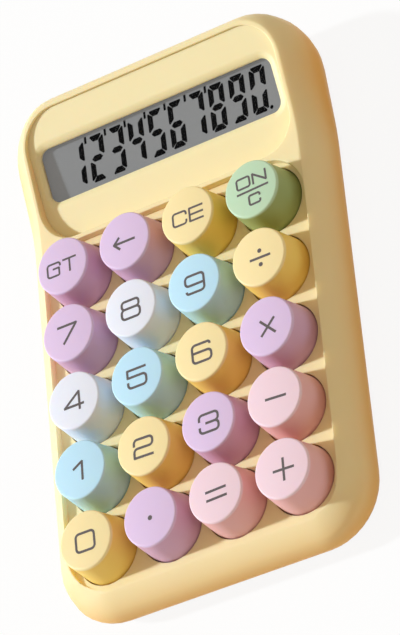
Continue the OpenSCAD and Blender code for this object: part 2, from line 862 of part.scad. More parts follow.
module key_cap(c, r, shade) {
    lug_l = key_r + lug_reach;
    color(shade)
        translate(key_at(c, r)) {
            rotate_extrude()
                key_section();
            difference() {
                intersection() {
                    union() {
                        for (a = lug_angles)
                            rotate([0, 0, a])
                                translate([-lug_l, -lug_w / 2, lug_z])
                                    cube([2 * lug_l, lug_w, lug_t]);
                    }
                    translate([0, 0, lug_z])
                        cylinder(h = lug_t, r = lug_l);
                }
                translate([0, 0, lug_z - cut])
                    cylinder(h = lug_t + 2 * cut, r = key_r - key_wall / 2);
            }
        }
}

module key_gt() { key_cap(0, 0, lilac); }
module key_back() { key_cap(1, 0, lilac); }
module key_ce() { key_cap(2, 0, cream); }
module key_on() { key_cap(3, 0, mint); }
module key_7() { key_cap(0, 1, lilac); }
module key_8() { key_cap(1, 1, white); }
module key_9() { key_cap(2, 1, blue); }
module key_divide() { key_cap(3, 1, cream); }
module key_4() { key_cap(0, 2, white); }
module key_5() { key_cap(1, 2, blue); }
module key_6() { key_cap(2, 2, cream); }
module key_times() { key_cap(3, 2, lilac); }
module key_1() { key_cap(0, 3, blue); }
module key_2() { key_cap(1, 3, cream); }
module key_3() { key_cap(2, 3, lilac); }
module key_minus() { key_cap(3, 3, pink); }
module key_0() { key_cap(0, 4, cream); }
module key_point() { key_cap(1, 4, lilac); }
module key_equals() { key_cap(2, 4, pink); }
module key_plus() { key_cap(3, 4, pink); }

top_housing();
bottom_cover();
display_panel();
display_window();
rubber_feet();
case_screws();
lcd_glass();
display_ribbon();
main_board();
chip_cover();
dome_mat();
board_screws();
battery();
battery_spring();
battery_plate();
battery_door();
key_gt();
key_back();
key_ce();
key_on();
key_7();
key_8();
key_9();
key_divide();
key_4();
key_5();
key_6();
key_times();
key_1();
key_2();
key_3();
key_minus();
key_0();
key_point();
key_equals();
key_plus();
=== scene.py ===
"""Looks of a small desk calculator with twenty round pastel keys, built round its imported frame."""

import json
import logging
import math
from dataclasses import dataclass, replace
from enum import Enum
from typing import Callable, Iterable, Sequence

import bmesh
import bpy
from mathutils import Matrix, Vector


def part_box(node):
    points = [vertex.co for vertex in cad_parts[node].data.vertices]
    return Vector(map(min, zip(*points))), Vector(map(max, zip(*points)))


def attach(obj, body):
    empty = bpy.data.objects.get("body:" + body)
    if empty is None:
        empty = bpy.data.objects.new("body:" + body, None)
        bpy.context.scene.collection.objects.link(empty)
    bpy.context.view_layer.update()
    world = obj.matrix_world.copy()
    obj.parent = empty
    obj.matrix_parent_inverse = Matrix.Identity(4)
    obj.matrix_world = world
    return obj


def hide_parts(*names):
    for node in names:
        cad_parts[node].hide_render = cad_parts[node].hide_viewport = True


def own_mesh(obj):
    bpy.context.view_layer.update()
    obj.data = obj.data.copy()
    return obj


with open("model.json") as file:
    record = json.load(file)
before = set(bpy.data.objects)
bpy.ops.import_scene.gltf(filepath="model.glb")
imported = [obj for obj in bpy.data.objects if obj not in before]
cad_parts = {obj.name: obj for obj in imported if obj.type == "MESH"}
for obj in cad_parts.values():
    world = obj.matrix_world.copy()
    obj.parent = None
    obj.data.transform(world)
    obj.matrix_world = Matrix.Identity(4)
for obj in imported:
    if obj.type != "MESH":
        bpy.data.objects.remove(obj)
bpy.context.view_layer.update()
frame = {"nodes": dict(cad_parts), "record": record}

MM = 0.001
CASE_BODY = "case"
DOOR_BODY = "battery_door"
KEY_START = "key_"
UP = Vector((0.0, 0.0, 1.0))
ORIGIN = (0.0, 0.0, 0.0)
WHITE = (1.0, 1.0, 1.0, 1.0)
# Points nearer than this, in metres, are one point
TOLERANCE = 1e-6
# Faces that meet at less than this, in degrees, are one flat face
FLAT_ANGLE = 0.4
# Faces that meet at less than this, in degrees, are shaded as one round skin
ROUND_ANGLE = 35.0
# A face whose normal has less than this along Z looks straight down
DOWN = -0.99
log = logging.getLogger("calculator")

SLOT_OF = {row["node"]: row["material_slot"] for row in frame["record"]["subparts"]}
Colour = tuple[float, float, float, float]


def srgb(red: int, green: int, blue: int) -> Colour:
    """Turn a colour as it looks on screen into the linear values that shaders take.

    Args:
        red: Red, 0 to 255.
        green: Green, 0 to 255.
        blue: Blue, 0 to 255.

    Returns:
        The linear colour with full alpha.
    """
    linear = [((c / 255 + 0.055) / 1.055) ** 2.4 if c > 10 else c / 255 / 12.92 for c in (red, green, blue)]
    return (linear[0], linear[1], linear[2], 1.0)


def box_of(points: Iterable[Sequence[float]]) -> tuple[Vector, Vector]:
    """Find the box round some points.

    Args:
        points: The points.

    Returns:
        Its lowest and its highest corner.
    """
    columns = list(zip(*points))
    return Vector([min(column) for column in columns]), Vector([max(column) for column in columns])


def key_nodes() -> list[str]:
    """List the nodes of the keys."""
    return [node for node in frame["nodes"] if node.startswith(KEY_START)]


def key_top(node: str) -> Vector:
    """Find the middle of a key's top.

    Args:
        node: The key's node.

    Returns:
        Its place.
    """
    low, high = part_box(node)
    middle = (low + high) / 2
    return Vector((middle.x, middle.y, high.z))


class Select(Enum):
    """What an edit session picks: points, edges or faces."""

    POINTS = (True, False, False)
    EDGES = (False, True, False)
    FACES = (False, False, True)


def activate(piece: bpy.types.Object) -> None:
    """Make one piece the only selected and active object.

    Args:
        piece: The piece.
    """
    bpy.ops.object.select_all(action="DESELECT")
    piece.select_set(True)
    bpy.context.view_layer.objects.active = piece


class Editing:
    """Edit mode on one piece, with picks by place and direction."""

    def __init__(self, piece: bpy.types.Object, mode: Select = Select.FACES) -> None:
        """Remember the piece and what is picked on it."""
        self.piece = piece
        self.mode = mode

    def __enter__(self) -> "Editing":
        """Enter edit mode with nothing picked.

        Returns:
            The session itself.
        """
        activate(self.piece)
        bpy.ops.object.mode_set(mode="EDIT")
        self.pick_by(self.mode)
        return self

    def __exit__(self, *_: object) -> None:
        """Go back to object mode."""
        bpy.ops.object.mode_set(mode="OBJECT")

    def pick_by(self, mode: Select) -> None:
        """Change what is picked, and drop the old picks."""
        bpy.ops.mesh.select_all(action="DESELECT")
        bpy.context.tool_settings.mesh_select_mode = mode.value

    def all(self) -> None:
        """Pick everything."""
        bpy.ops.mesh.select_all(action="SELECT")

    def pick(self, mode: Select, test: Callable[[object], bool]) -> None:
        """Pick the edges or faces that pass a test.

        Args:
            mode: Edges or faces.
            test: Takes one of them.
        """
        self.pick_by(mode)
        mesh = bmesh.from_edit_mesh(self.piece.data)
        for item in mesh.faces if mode is Select.FACES else mesh.edges:
            item.select_set(test(item))
        mesh.select_flush_mode()
        bmesh.update_edit_mesh(self.piece.data)

    def faces(self, test: Callable[[Vector], bool]) -> None:
        """Pick the faces whose normal passes a test."""
        self.pick(Select.FACES, lambda face: test(face.normal))

    def edges(self, test: Callable[[Vector, Vector], bool]) -> None:
        """Pick the edges whose two ends pass a test."""
        self.pick(Select.EDGES, lambda edge: test(edge.verts[0].co, edge.verts[1].co))

    def extrude(self, rise: float) -> None:
        """Pull the picked faces up, or down where the rise is negative."""
        bpy.ops.mesh.extrude_region_move(TRANSFORM_OT_translate={"value": (0.0, 0.0, rise)})

    def resize(self, share: Sequence[float], about: Sequence[float]) -> None:
        """Scale the picked points about a centre."""
        bpy.ops.transform.resize(value=tuple(share), center_override=tuple(about))

    def bevel(self, width: float, steps: int, **settings: object) -> None:
        """Round the picked edges."""
        bpy.ops.mesh.bevel(offset=width, segments=steps, affect="EDGES", **settings)

    def merge(self) -> None:
        """Merge doubles all over."""
        self.all()
        bpy.ops.mesh.remove_doubles(threshold=TOLERANCE)

    def face_out(self) -> None:
        """Turn every face outwards."""
        self.all()
        bpy.ops.mesh.normals_make_consistent(inside=False)

    def thicken(self, depth: float) -> None:
        """Turn flat faces upwards and pull them up into solids.

        Args:
            depth: Thickness of the solids.
        """
        self.merge()
        self.face_out()
        self.faces(lambda normal: normal.z < 0.0)
        bpy.ops.mesh.flip_normals()
        self.faces(lambda normal: True)
        self.extrude(depth)
        self.face_out()


def apply_modifier(piece: bpy.types.Object, kind: str, **settings: object) -> None:
    """Add a modifier to a piece and apply it.

    Args:
        piece: The piece that it shapes.
        kind: Type of the modifier.
        settings: Values set on it before it is applied.
    """
    activate(piece)
    modifier = piece.modifiers.new(kind.lower(), kind)
    for name, value in settings.items():
        setattr(modifier, name, value)
    bpy.ops.object.modifier_apply(modifier=modifier.name)


def smooth(piece: bpy.types.Object, degrees: float = ROUND_ANGLE) -> None:
    """Shade a piece smooth, up to an angle between its faces."""
    activate(piece)
    bpy.ops.object.shade_smooth_by_angle(angle=math.radians(degrees))


def add_to_scene(name: str, mesh: bpy.types.Mesh) -> bpy.types.Object:
    """Put a mesh into the scene as an object at the origin.

    Args:
        name: Name of the object and its mesh.
        mesh: The mesh.

    Returns:
        The object.
    """
    mesh.name = name
    piece = bpy.data.objects.new(name, mesh)
    bpy.context.scene.collection.objects.link(piece)
    return piece


def copy_of(template: bpy.types.Object, name: str, place: Matrix) -> bpy.types.Object:
    """Copy a piece with its own mesh, and put the place into the mesh.

    Args:
        template: The piece that is copied.
        name: Name of the copy.
        place: Where the copy goes.

    Returns:
        The copy, at the origin.
    """
    mesh = template.data.copy()
    mesh.transform(place)
    return add_to_scene(name, mesh)


def join(pieces: Sequence[bpy.types.Object], name: str) -> bpy.types.Object:
    """Join pieces into one, shaded smooth.

    Args:
        pieces: The pieces, of which the first one stays.
        name: Name of the joined piece.

    Returns:
        The joined piece.
    """
    activate(pieces[0])
    for piece in pieces:
        piece.select_set(True)
    bpy.ops.object.join()
    pieces[0].name = name
    smooth(pieces[0])
    return pieces[0]


def merged_copy(node: str, name: str) -> bpy.types.Object:
    """Copy a node and merge its triangles into whole faces.

    Args:
        node: The node that is copied.
        name: Name of the new piece.

    Returns:
        The merged copy.
    """
    piece = copy_of(frame["nodes"][node], name, Matrix.Identity(4))
    activate(piece)
    bpy.ops.mesh.customdata_custom_splitnormals_clear()
    with Editing(piece) as edit:
        edit.merge()
        bpy.ops.mesh.mark_sharp(clear=True)
        bpy.ops.mesh.dissolve_limited(angle_limit=math.radians(FLAT_ANGLE))
    return piece


def remove(pieces: Iterable[bpy.types.Object]) -> None:
    """Take helper objects out of the file."""
    for piece in pieces:
        bpy.data.objects.remove(piece)


class Nodes:
    """A small builder for shader trees."""

    def __init__(self, tree: bpy.types.NodeTree) -> None:
        """Start with an empty tree."""
        self.tree = tree
        self.tree.nodes.clear()

    def add(self, kind: str, inputs: dict[str | int, object] | None = None,
            **settings: object) -> bpy.types.Node:
        """Add a node, and set or link its inputs.

        Args:
            kind: Class name of the node.
            inputs: Input sockets by name or number, each a value or an output socket.
            settings: Attributes of the node.

        Returns:
            The new node.
        """
        node = self.tree.nodes.new(kind)
        for name, value in settings.items():
            setattr(node, name, value)
        for name, value in (inputs or {}).items():
            if isinstance(value, bpy.types.NodeSocket):
                self.tree.links.new(value, node.inputs[name])
            else:
                node.inputs[name].default_value = value
        return node

    def math(self, operation: str, first: object, second: object, **settings: object) -> bpy.types.NodeSocket:
        """Work out a value from two others."""
        return self.add("ShaderNodeMath", {0: first, 1: second}, operation=operation, **settings).outputs[0]

    def mix(self, share: object, first: object, second: object) -> bpy.types.NodeSocket:
        """Mix two colours by a share of the second."""
        node = self.add("ShaderNodeMix", {"Factor": share, "A": first, "B": second}, data_type="RGBA")
        return node.outputs["Result"]

    def noise(self, place: object, scale: float, detail: float) -> bpy.types.NodeSocket:
        """Spread a noise over a place."""
        settings = {"Vector": place, "Scale": scale, "Detail": detail}
        return self.add("ShaderNodeTexNoise", settings).outputs["Fac"]

    def ramp(self, value: object, low: object, high: object, top: object = 1.0) -> bpy.types.NodeSocket:
        """Climb softly from nothing to a top value between two limits.

        Args:
            value: The value that the ramp follows.
            low: Where the ramp starts.
            high: Where the ramp ends.
            top: Height of the ramp.

        Returns:
            The ramp.
        """
        limits = {"Value": value, "From Min": low, "From Max": high, "To Max": top}
        return self.add("ShaderNodeMapRange", limits, interpolation_type="SMOOTHSTEP").outputs["Result"]


def new_material(name: str) -> tuple[bpy.types.Material, Nodes]:
    """Start a material.

    Args:
        name: Name of the material.

    Returns:
        The material and the builder of its empty tree.
    """
    material = bpy.data.materials.new(name)
    material.use_nodes = True
    return material, Nodes(material.node_tree)


class Socket(Enum):
    """Kinds of sockets on a shared group."""

    COLOUR = "NodeSocketColor"
    VALUE = "NodeSocketFloat"
    PLACE = "NodeSocketVector"


class SharedGroup:
    """A node group that several materials use."""

    NAME: str
    INPUTS: dict[str, Socket]
    OUTPUTS: dict[str, Socket]

    @classmethod
    def get(cls) -> bpy.types.NodeTree:
        """Find the group, or build it the first time.

        Returns:
            The node group.
        """
        found = bpy.data.node_groups.get(cls.NAME)
        if found:
            return found
        tree = bpy.data.node_groups.new(cls.NAME, "ShaderNodeTree")
        for way, sockets in (("INPUT", cls.INPUTS), ("OUTPUT", cls.OUTPUTS)):
            for name, kind in sockets.items():
                tree.interface.new_socket(name, in_out=way, socket_type=kind.value)
        build = Nodes(tree)
        given = build.add("NodeGroupInput").outputs
        build.add("NodeGroupOutput", cls.wire(build, given))
        return tree

    @classmethod
    def wire(cls, build: Nodes, given: bpy.types.NodeOutputs) -> dict[str, bpy.types.NodeSocket]:
        """Lay the group's own nodes between its inputs and its outputs."""
        raise NotImplementedError


class SkinGroup(SharedGroup):
    """Cloudy tint, patchy gloss and the fine grain of a moulded skin."""

    NAME = "moulded_skin"
    INPUTS = {"Vector": Socket.PLACE, "Colour": Socket.COLOUR, "Deep Colour": Socket.COLOUR,
              "Roughness": Socket.VALUE, "Patchiness": Socket.VALUE}
    OUTPUTS = {"Colour": Socket.COLOUR, "Roughness": Socket.VALUE, "Height": Socket.VALUE}
    CLOUD_SCALE = 55.0
    CLOUD_DETAIL = 4.0
    CLOUD_MEAN = 0.5
    GRAIN_SCALE = 2600.0
    GRAIN_DETAIL = 2.0

    @classmethod
    def wire(cls, build: Nodes, given: bpy.types.NodeOutputs) -> dict[str, bpy.types.NodeSocket]:
        """Lay the skin's nodes.

        Args:
            build: Builder of the group's tree.
            given: The group's inputs.

        Returns:
            What each output of the group shows.
        """
        cloud = build.noise(given["Vector"], cls.CLOUD_SCALE, cls.CLOUD_DETAIL)
        share = build.math("MULTIPLY", cloud, given["Patchiness"])
        spread = build.math("SUBTRACT", cloud, cls.CLOUD_MEAN)
        patch = build.math("MULTIPLY", spread, given["Patchiness"])
        return {"Colour": build.mix(share, given["Colour"], given["Deep Colour"]),
                "Roughness": build.math("ADD", given["Roughness"], patch, use_clamp=True),
                "Height": build.noise(given["Vector"], cls.GRAIN_SCALE, cls.GRAIN_DETAIL)}


class PaintedShadeGroup(SharedGroup):
    """Painted shade: a colour that deepens downwards between two heights."""

    NAME = "painted_height_shade"
    INPUTS = {"Vector": Socket.PLACE, "Upper": Socket.COLOUR, "Lower": Socket.COLOUR, "Low Z": Socket.VALUE,
              "High Z": Socket.VALUE, "Rise": Socket.VALUE, "Front Y": Socket.VALUE, "Back Y": Socket.VALUE}
    OUTPUTS = {"Colour": Socket.COLOUR}

    @classmethod
    def wire(cls, build: Nodes, given: bpy.types.NodeOutputs) -> dict[str, bpy.types.NodeSocket]:
        """Lay the tint's nodes.

        Args:
            build: Builder of the group's tree.
            given: The group's inputs.

        Returns:
            What the output of the group shows.
        """
        spot = build.add("ShaderNodeSeparateXYZ", {"Vector": given["Vector"]}).outputs
        climb = build.ramp(spot["Y"], given["Front Y"], given["Back Y"], given["Rise"])
        height = build.math("SUBTRACT", spot["Z"], climb)
        share = build.ramp(height, given["Low Z"], given["High Z"])
        return {"Colour": build.mix(share, given["Lower"], given["Upper"])}


@dataclass(frozen=True)
class PaintedShade:
    """Painted shade: how a surface's colour deepens downwards, standing in for shade on its lower and side
    faces.

    The deepening lies between two heights, which may climb by a rise from a front to a back place.
    """

    colour: Colour
    low: float
    high: float
    rise: float = 0.0
    front: float = -1.0
    back: float = 1.0


@dataclass(frozen=True)
class Finish:
    """A moulded or plated surface with its own colour play, gloss and grain, and where set a painted shade
    downwards and a painted glow.
    """

    BUMP_STRENGTH = 0.35
    GLOW_RADIUS = (1.0, 0.62, 0.36)
    name: str
    colour: Colour
    deep: Colour
    roughness: float = 0.48
    patchiness: float = 0.25
    grain: float = 0.006 * MM
    metallic: float = 0.0
    glow: float = 0.0
    glow_scale: float = 2.0 * MM
    specular: float = 0.3
    # Painted shade: the colour deepens towards this downwards, standing in for shade on lower and side faces
    fall: PaintedShade | None = None
    # Painted glow: strength of a glow in the surface's own colour, which lifts its shade though it is no lamp
    painted_glow: float = 0.0

    def make(self) -> bpy.types.Material:
        """Build the material.

        Returns:
            The material, made once for each name.
        """
        found = bpy.data.materials.get(self.name)
        if found:
            return found
        material, build = new_material(self.name)
        place = build.add("ShaderNodeTexCoord").outputs["Object"]
        skin = build.add("ShaderNodeGroup", {
            "Vector": place, "Colour": self.colour, "Deep Colour": self.deep, "Roughness": self.roughness,
            "Patchiness": self.patchiness}, node_tree=SkinGroup.get()).outputs
        colour = skin["Colour"]
        # Painted shade: mix the colour towards the shade colour downwards
        if self.fall:
            colour = build.add("ShaderNodeGroup", {
                "Vector": place, "Upper": colour, "Lower": self.fall.colour, "Low Z": self.fall.low,
                "High Z": self.fall.high, "Rise": self.fall.rise, "Front Y": self.fall.front,
                "Back Y": self.fall.back}, node_tree=PaintedShadeGroup.get()).outputs["Colour"]
        bump = build.add("ShaderNodeBump", {"Height": skin["Height"], "Strength": self.BUMP_STRENGTH,
                                            "Distance": self.grain})
        shader = build.add("ShaderNodeBsdfPrincipled", {
            "Base Color": colour, "Roughness": skin["Roughness"], "Normal": bump.outputs["Normal"],
            "Metallic": self.metallic, "Emission Strength": self.painted_glow, "Specular IOR Level": self.specular,
            "Subsurface Weight": self.glow, "Subsurface Radius": self.GLOW_RADIUS,
            "Subsurface Scale": self.glow_scale})
        # Painted glow: the surface glows in its own colour, lifting its shade
        if self.painted_glow > 0.0:
            build.tree.links.new(colour, shader.inputs["Emission Color"])
        build.add("ShaderNodeOutputMaterial", {"Surface": shader.outputs[0]})
        return material


@dataclass(frozen=True)
class ClearFinish:
    """A clear cover that shows what lies under it and keeps a faint gloss."""

    name: str
    colour: Colour = srgb(60, 62, 64)
    alpha: float = 0.03
    roughness: float = 0.08
    smear: float = 2.5
    smear_scale: float = 90.0
    smear_detail: float = 3.0

    def make(self) -> bpy.types.Material:
        """Build the material.

        Returns:
            The clear material.
        """
        material, build = new_material(self.name)
        place = build.add("ShaderNodeTexCoord").outputs["Object"]
        gloss = build.add("ShaderNodeMapRange", {
            "Value": build.noise(place, self.smear_scale, self.smear_detail),
            "To Min": self.roughness, "To Max": self.smear * self.roughness})
        shader = build.add("ShaderNodeBsdfPrincipled", {
            "Base Color": self.colour, "Roughness": gloss.outputs["Result"], "Alpha": self.alpha})
        build.add("ShaderNodeOutputMaterial", {"Surface": shader.outputs[0]})
        return material


AnyFinish = Finish | ClearFinish


def cream(name: str, colour: Colour, deep: Colour, fall: PaintedShade | None = None) -> Finish:
    """Make a finish of the case's cream plastic, which light enters a little, with painted shade downwards
    where given.
    """
    return Finish(name, colour, deep, glow=0.3, glow_scale=3.0 * MM, fall=fall)


def cap(name: str, colour: Colour, deep: Colour, side: Colour) -> Finish:
    """Make a key cap's finish, whose side below the top's rounded edge is painted in a deeper colour as
    painted shade.
    """
    # Painted shade on the cap's side, full below 22.0 mm
    fall = PaintedShade(side, low=22.0 * MM, high=22.9 * MM)
    return Finish(name, colour, deep, roughness=0.46, patchiness=0.3, glow=0.2, specular=0.22, fall=fall)


class Palette:
    """Finishes of the calculator."""

    # Painted shade: the case deepens to orange-tan below 15 mm, fully at 4 mm, with the band 7 mm higher
    # towards the back, standing in for the warm shade on its lower flanks
    CASE = cream("cream_moulding", srgb(245, 228, 180), srgb(242, 222, 170),
                 PaintedShade(srgb(240, 182, 94), 4.0 * MM, 15.0 * MM, 7.0 * MM, 30.0 * MM, 60.0 * MM))
    # Painted shade: the lower cover carries the case's orange-tan shade colour, and turns back to the cream
    # plastic colour between 3.2 mm and 0.9 mm above the ground
    COVER = cream("cream_cover", srgb(240, 186, 100), srgb(240, 182, 94),
                  PaintedShade(srgb(246, 229, 181), 0.9 * MM, 3.2 * MM))
    PANEL = cream("cream_panel", srgb(247, 231, 184), srgb(244, 225, 174))
    # Painted shade: the last colour of each cap paints its side deeper below the top's rounded edge, standing
    # in for the shade on the sides
    KEYS = {
        "key_lilac": cap("lilac_cap", srgb(222, 199, 234), srgb(216, 191, 230), srgb(212, 172, 204)),
        "key_cream": cap("cream_cap", srgb(249, 229, 176), srgb(247, 223, 166), srgb(250, 213, 111)),
        "key_mint": cap("mint_cap", srgb(191, 220, 191), srgb(183, 213, 183), srgb(156, 173, 113)),
        "key_white": cap("white_cap", srgb(233, 237, 253), srgb(227, 232, 250), srgb(232, 238, 255)),
        "key_blue": cap("blue_cap", srgb(192, 231, 255), srgb(184, 225, 253), srgb(182, 228, 250)),
        "key_pink": cap("pink_cap", srgb(240, 213, 226), srgb(236, 205, 220), srgb(234, 182, 184)),
    }
    INK = Finish("legend_ink", srgb(98, 92, 94), srgb(90, 84, 86), 0.7, 0.3, specular=0.2)
    SEGMENT = Finish("display_black", srgb(10, 10, 11), srgb(16, 16, 17), 0.9, 0.2, specular=0.0)
    # Painted glow: the display cell glows in its own colour, which lifts the shadow cast on it; the cell is
    # no lamp
    DISPLAY = Finish("display_polariser", srgb(98, 99, 100), srgb(92, 94, 95), 0.5, 0.4, specular=0.2,
                     painted_glow=1.0)
    WINDOW = ClearFinish("clear_window")
    RUBBER = Finish("foot_rubber", srgb(64, 64, 66), srgb(54, 54, 56), 0.8, 0.4, 0.02 * MM, specular=0.25)
    STEEL = Finish("plated_steel", srgb(200, 200, 204), srgb(170, 172, 176), 0.3, 0.4, metallic=1.0)
    NICKEL = Finish("nickel_contact", srgb(214, 212, 204), srgb(190, 188, 180), 0.28, 0.4, metallic=1.0)
    BOARD = Finish("solder_mask", srgb(38, 104, 62), srgb(30, 88, 52), 0.4, 0.5)
    CHIP = Finish("chip_resin", srgb(18, 18, 18), srgb(26, 26, 26), 0.25, 0.3)
    SILICONE = Finish("silicone_sheet", srgb(214, 216, 220), srgb(204, 207, 212), 0.6, 0.3, glow=0.2)
    FILM = Finish("ribbon_film", srgb(196, 142, 62), srgb(176, 122, 48), 0.3, 0.4)
    JACKET = Finish("cell_jacket", srgb(92, 96, 104), srgb(78, 82, 90), 0.35, 0.3, metallic=0.6)


def dress(piece: bpy.types.Object, finish: AnyFinish) -> None:
    """Give a piece one finish all over.

    Args:
        piece: The piece.
        finish: Its finish.
    """
    piece.data.materials.clear()
    piece.data.materials.append(finish.make())
    log.info("%s is dressed in %s", piece.name, finish.name)


def seat(piece: bpy.types.Object, finish: AnyFinish, body: str, slot: str, *stands_for: str) -> None:
    """Dress a piece, let it ride on a body and hide what it stands for.

    Args:
        piece: The finished piece.
        finish: Its finish.
        body: The body that it moves with.
        slot: The record's material slot; not used.
        stands_for: The nodes that it replaces.
    """
    dress(piece, finish)
    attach(piece, body)
    if stands_for:
        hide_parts(*stands_for)
    log.info("%s rides on %s", piece.name, body)


class Panel:
    """The tilted plane of the display panel, found on its solid."""

    NODE = "display_panel"
    # The upper face's normal has more than this along Z
    LEAST_UP = 0.5

    def __init__(self) -> None:
        """Find the plane of the panel's upper face, with its origin at the back edge."""
        mesh = frame["nodes"][self.NODE].data
        top = max((p for p in mesh.polygons if p.normal.z > self.LEAST_UP), key=lambda p: p.area)
        normal = top.normal.copy()
        along = normal.cross(Vector((1.0, 0.0, 0.0)))
        back = max((v.co for v in mesh.vertices), key=lambda co: co.dot(along))
        origin = along * back.dot(along) + normal * top.center.dot(normal)
        self.place = Matrix((
            (1.0, along.x, normal.x, origin.x), (0.0, along.y, normal.y, origin.y),
            (0.0, along.z, normal.z, origin.z), (0.0, 0.0, 0.0, 1.0)))
        self.inverse = self.place.inverted()

    def box(self, node: str) -> tuple[Vector, Vector]:
        """Give a node's lowest and highest corner in the panel's own axes."""
        return box_of(self.inverse @ v.co for v in frame["nodes"][node].data.vertices)


@dataclass
class Mouldings:
    """Case shells: the solids' own shapes with softened edges and smooth skins."""

    crease: float = 24.0
    skin_angle: float = 32.0
    segments: int = 3
    cover_edge: float = 0.25 * MM
    door_edge: float = 0.2 * MM
    rim_edge: float = 0.3 * MM
    rim_low: float = 13.9 * MM
    panel_grow: float = 0.13 * MM
    opening_edge: float = 1.2 * MM
    opening_steps: int = 6
    opening_left: float = 0.8 * MM
    top_band: float = 0.02 * MM

    def soften_opening(self, piece: bpy.types.Object, panel: Panel) -> None:
        """Widen the display opening a little to its left and round its upper edge.

        Args:
            piece: The panel.
            panel: The panel's plane.
        """
        low, high = panel.box("display_window")

        def within(*ends: Vector) -> bool:
            """Tell whether all points lie within the window's outline."""
            spots = [panel.inverse @ end for end in ends]
            return all(low.x < s.x < high.x and low.y < s.y < high.y for s in spots)

        def on_top(*ends: Vector) -> bool:
            """Tell whether all points lie on the panel's upper face."""
            return all(abs((panel.inverse @ end).z) < self.top_band for end in ends)

        with Editing(piece) as edit:
            edit.edges(lambda a, b: within(a, b) and max(a.x, b.x) < 0.0)
            bpy.ops.transform.translate(value=(-self.opening_left, 0.0, 0.0))
            edit.edges(lambda a, b: within(a, b) and on_top(a, b))
            edit.bevel(self.opening_edge, self.opening_steps)

    def close_gap(self, piece: bpy.types.Object, panel: Panel) -> None:
        """Widen the panel a little, so that its joint with the housing is a hairline.

        Args:
            piece: The panel.
            panel: The panel's plane.
        """
        low, high = panel.box(panel.NODE)
        middle = (low + high) / 2
        share = [1.0 + 2 * self.panel_grow / (high[i] - low[i]) for i in range(2)]
        local = Matrix.Translation(middle) @ Matrix.Diagonal((*share, 1.0, 1.0)) @ Matrix.Translation(-middle)
        piece.data.transform(panel.place @ local @ panel.inverse)

    def soften_rim(self, piece: bpy.types.Object) -> None:
        """Round the sharp edges of the rim, the ribs and the tray, which lie above the deck.

        Args:
            piece: The upper shell.
        """
        with Editing(piece, Select.EDGES) as edit:
            bpy.ops.mesh.edges_select_sharp(sharpness=math.radians(self.crease))
            mesh = bmesh.from_edit_mesh(piece.data)
            for edge in mesh.edges:
                if edge.select and min(v.co.z for v in edge.verts) < self.rim_low:
                    edge.select_set(False)
            mesh.select_flush_mode()
            bmesh.update_edit_mesh(piece.data)
            edit.bevel(self.rim_edge, self.segments, clamp_overlap=False)

    def soften(self, piece: bpy.types.Object, width: float) -> None:
        """Round all of a shell's sharp edges.

        Args:
            piece: The shell.
            width: Width of the rounded edge.
        """
        apply_modifier(piece, "BEVEL", width=width, segments=self.segments, limit_method="ANGLE",
                       angle_limit=math.radians(self.crease), use_clamp_overlap=True)
        with Editing(piece) as edit:
            edit.all()
            bpy.ops.mesh.dissolve_degenerate(threshold=TOLERANCE)
            edit.merge()

    def build(self, panel: Panel) -> None:
        """Make the upper shell, the cover, the panel and the door.

        Args:
            panel: The panel's plane.
        """
        for node, name, body, finish in (
                ("top_housing", "upper_shell", CASE_BODY, Palette.CASE),
                ("bottom_cover", "lower_cover", CASE_BODY, Palette.COVER),
                (panel.NODE, "tilted_panel", CASE_BODY, Palette.PANEL),
                ("battery_door", "cell_door", DOOR_BODY, Palette.PANEL)):
            piece = merged_copy(node, name)
            if node == "top_housing":
                self.soften_rim(piece)
            elif node == panel.NODE:
                self.soften_opening(piece, panel)
                self.close_gap(piece, panel)
            else:
                self.soften(piece, self.door_edge if node == "battery_door" else self.cover_edge)
            smooth(piece, self.skin_angle)
            apply_modifier(piece, "WEIGHTED_NORMAL", keep_sharp=True)
            seat(piece, finish, body, SLOT_OF[node], node)


@dataclass(frozen=True)
class Cup:
    """A round hollow cup, open below, that narrows from a knee upwards and may hold a stem."""

    sides: int
    foot_r: float
    top_r: float
    wall: float
    edge_r: float
    edge_steps: int
    stem_r: float = 0.0
    stem_gap: float = 0.0

    def climb(self, edit: Editing, levels: Sequence[float], share: float) -> None:
        """Pull the picked face up to the knee, and on to a height where it is smaller.

        Args:
            edit: The open edit session.
            levels: Heights of the foot, the knee and the end.
            share: Size of the face at the end against its size at the foot.
        """
        foot_z, knee_z, end_z = levels
        if knee_z > foot_z:
            edit.extrude(knee_z - foot_z)
        edit.extrude(end_z - knee_z)
        edit.resize((share, share, 1.0), (0.0, 0.0, end_z))

    def model(self, foot_z: float, knee_z: float, top_z: float) -> bpy.types.Object:
        """Model the cup about the upright axis through the origin.

        Args:
            foot_z: Height of its lower edge.
            knee_z: Height from which it narrows.
            top_z: Height of its top.

        Returns:
            The cup.
        """
        roof_z = top_z - self.wall
        bpy.ops.object.select_all(action="DESELECT")
        bpy.ops.mesh.primitive_circle_add(vertices=self.sides, radius=self.foot_r, fill_type="NGON",
                                          location=(0.0, 0.0, foot_z))
        piece = bpy.context.object
        bpy.ops.object.transform_apply(location=True)
        with Editing(piece) as edit:
            edit.all()
            self.climb(edit, (foot_z, knee_z, top_z), self.top_r / self.foot_r)
            edit.merge()
            edit.face_out()
            edit.faces(lambda normal: normal.z < DOWN)
            bpy.ops.mesh.inset(thickness=self.wall)
            self.climb(edit, (foot_z, knee_z, roof_z), (self.top_r - self.wall) / (self.foot_r - self.wall))
            if self.stem_r > 0.0:
                bpy.ops.mesh.inset(thickness=self.top_r - self.wall - self.stem_r)
                edit.extrude(foot_z + self.stem_gap - roof_z)
            edit.edges(lambda a, b: min(a.z, b.z) > top_z - TOLERANCE)
            edit.bevel(self.edge_r, self.edge_steps)
        return piece


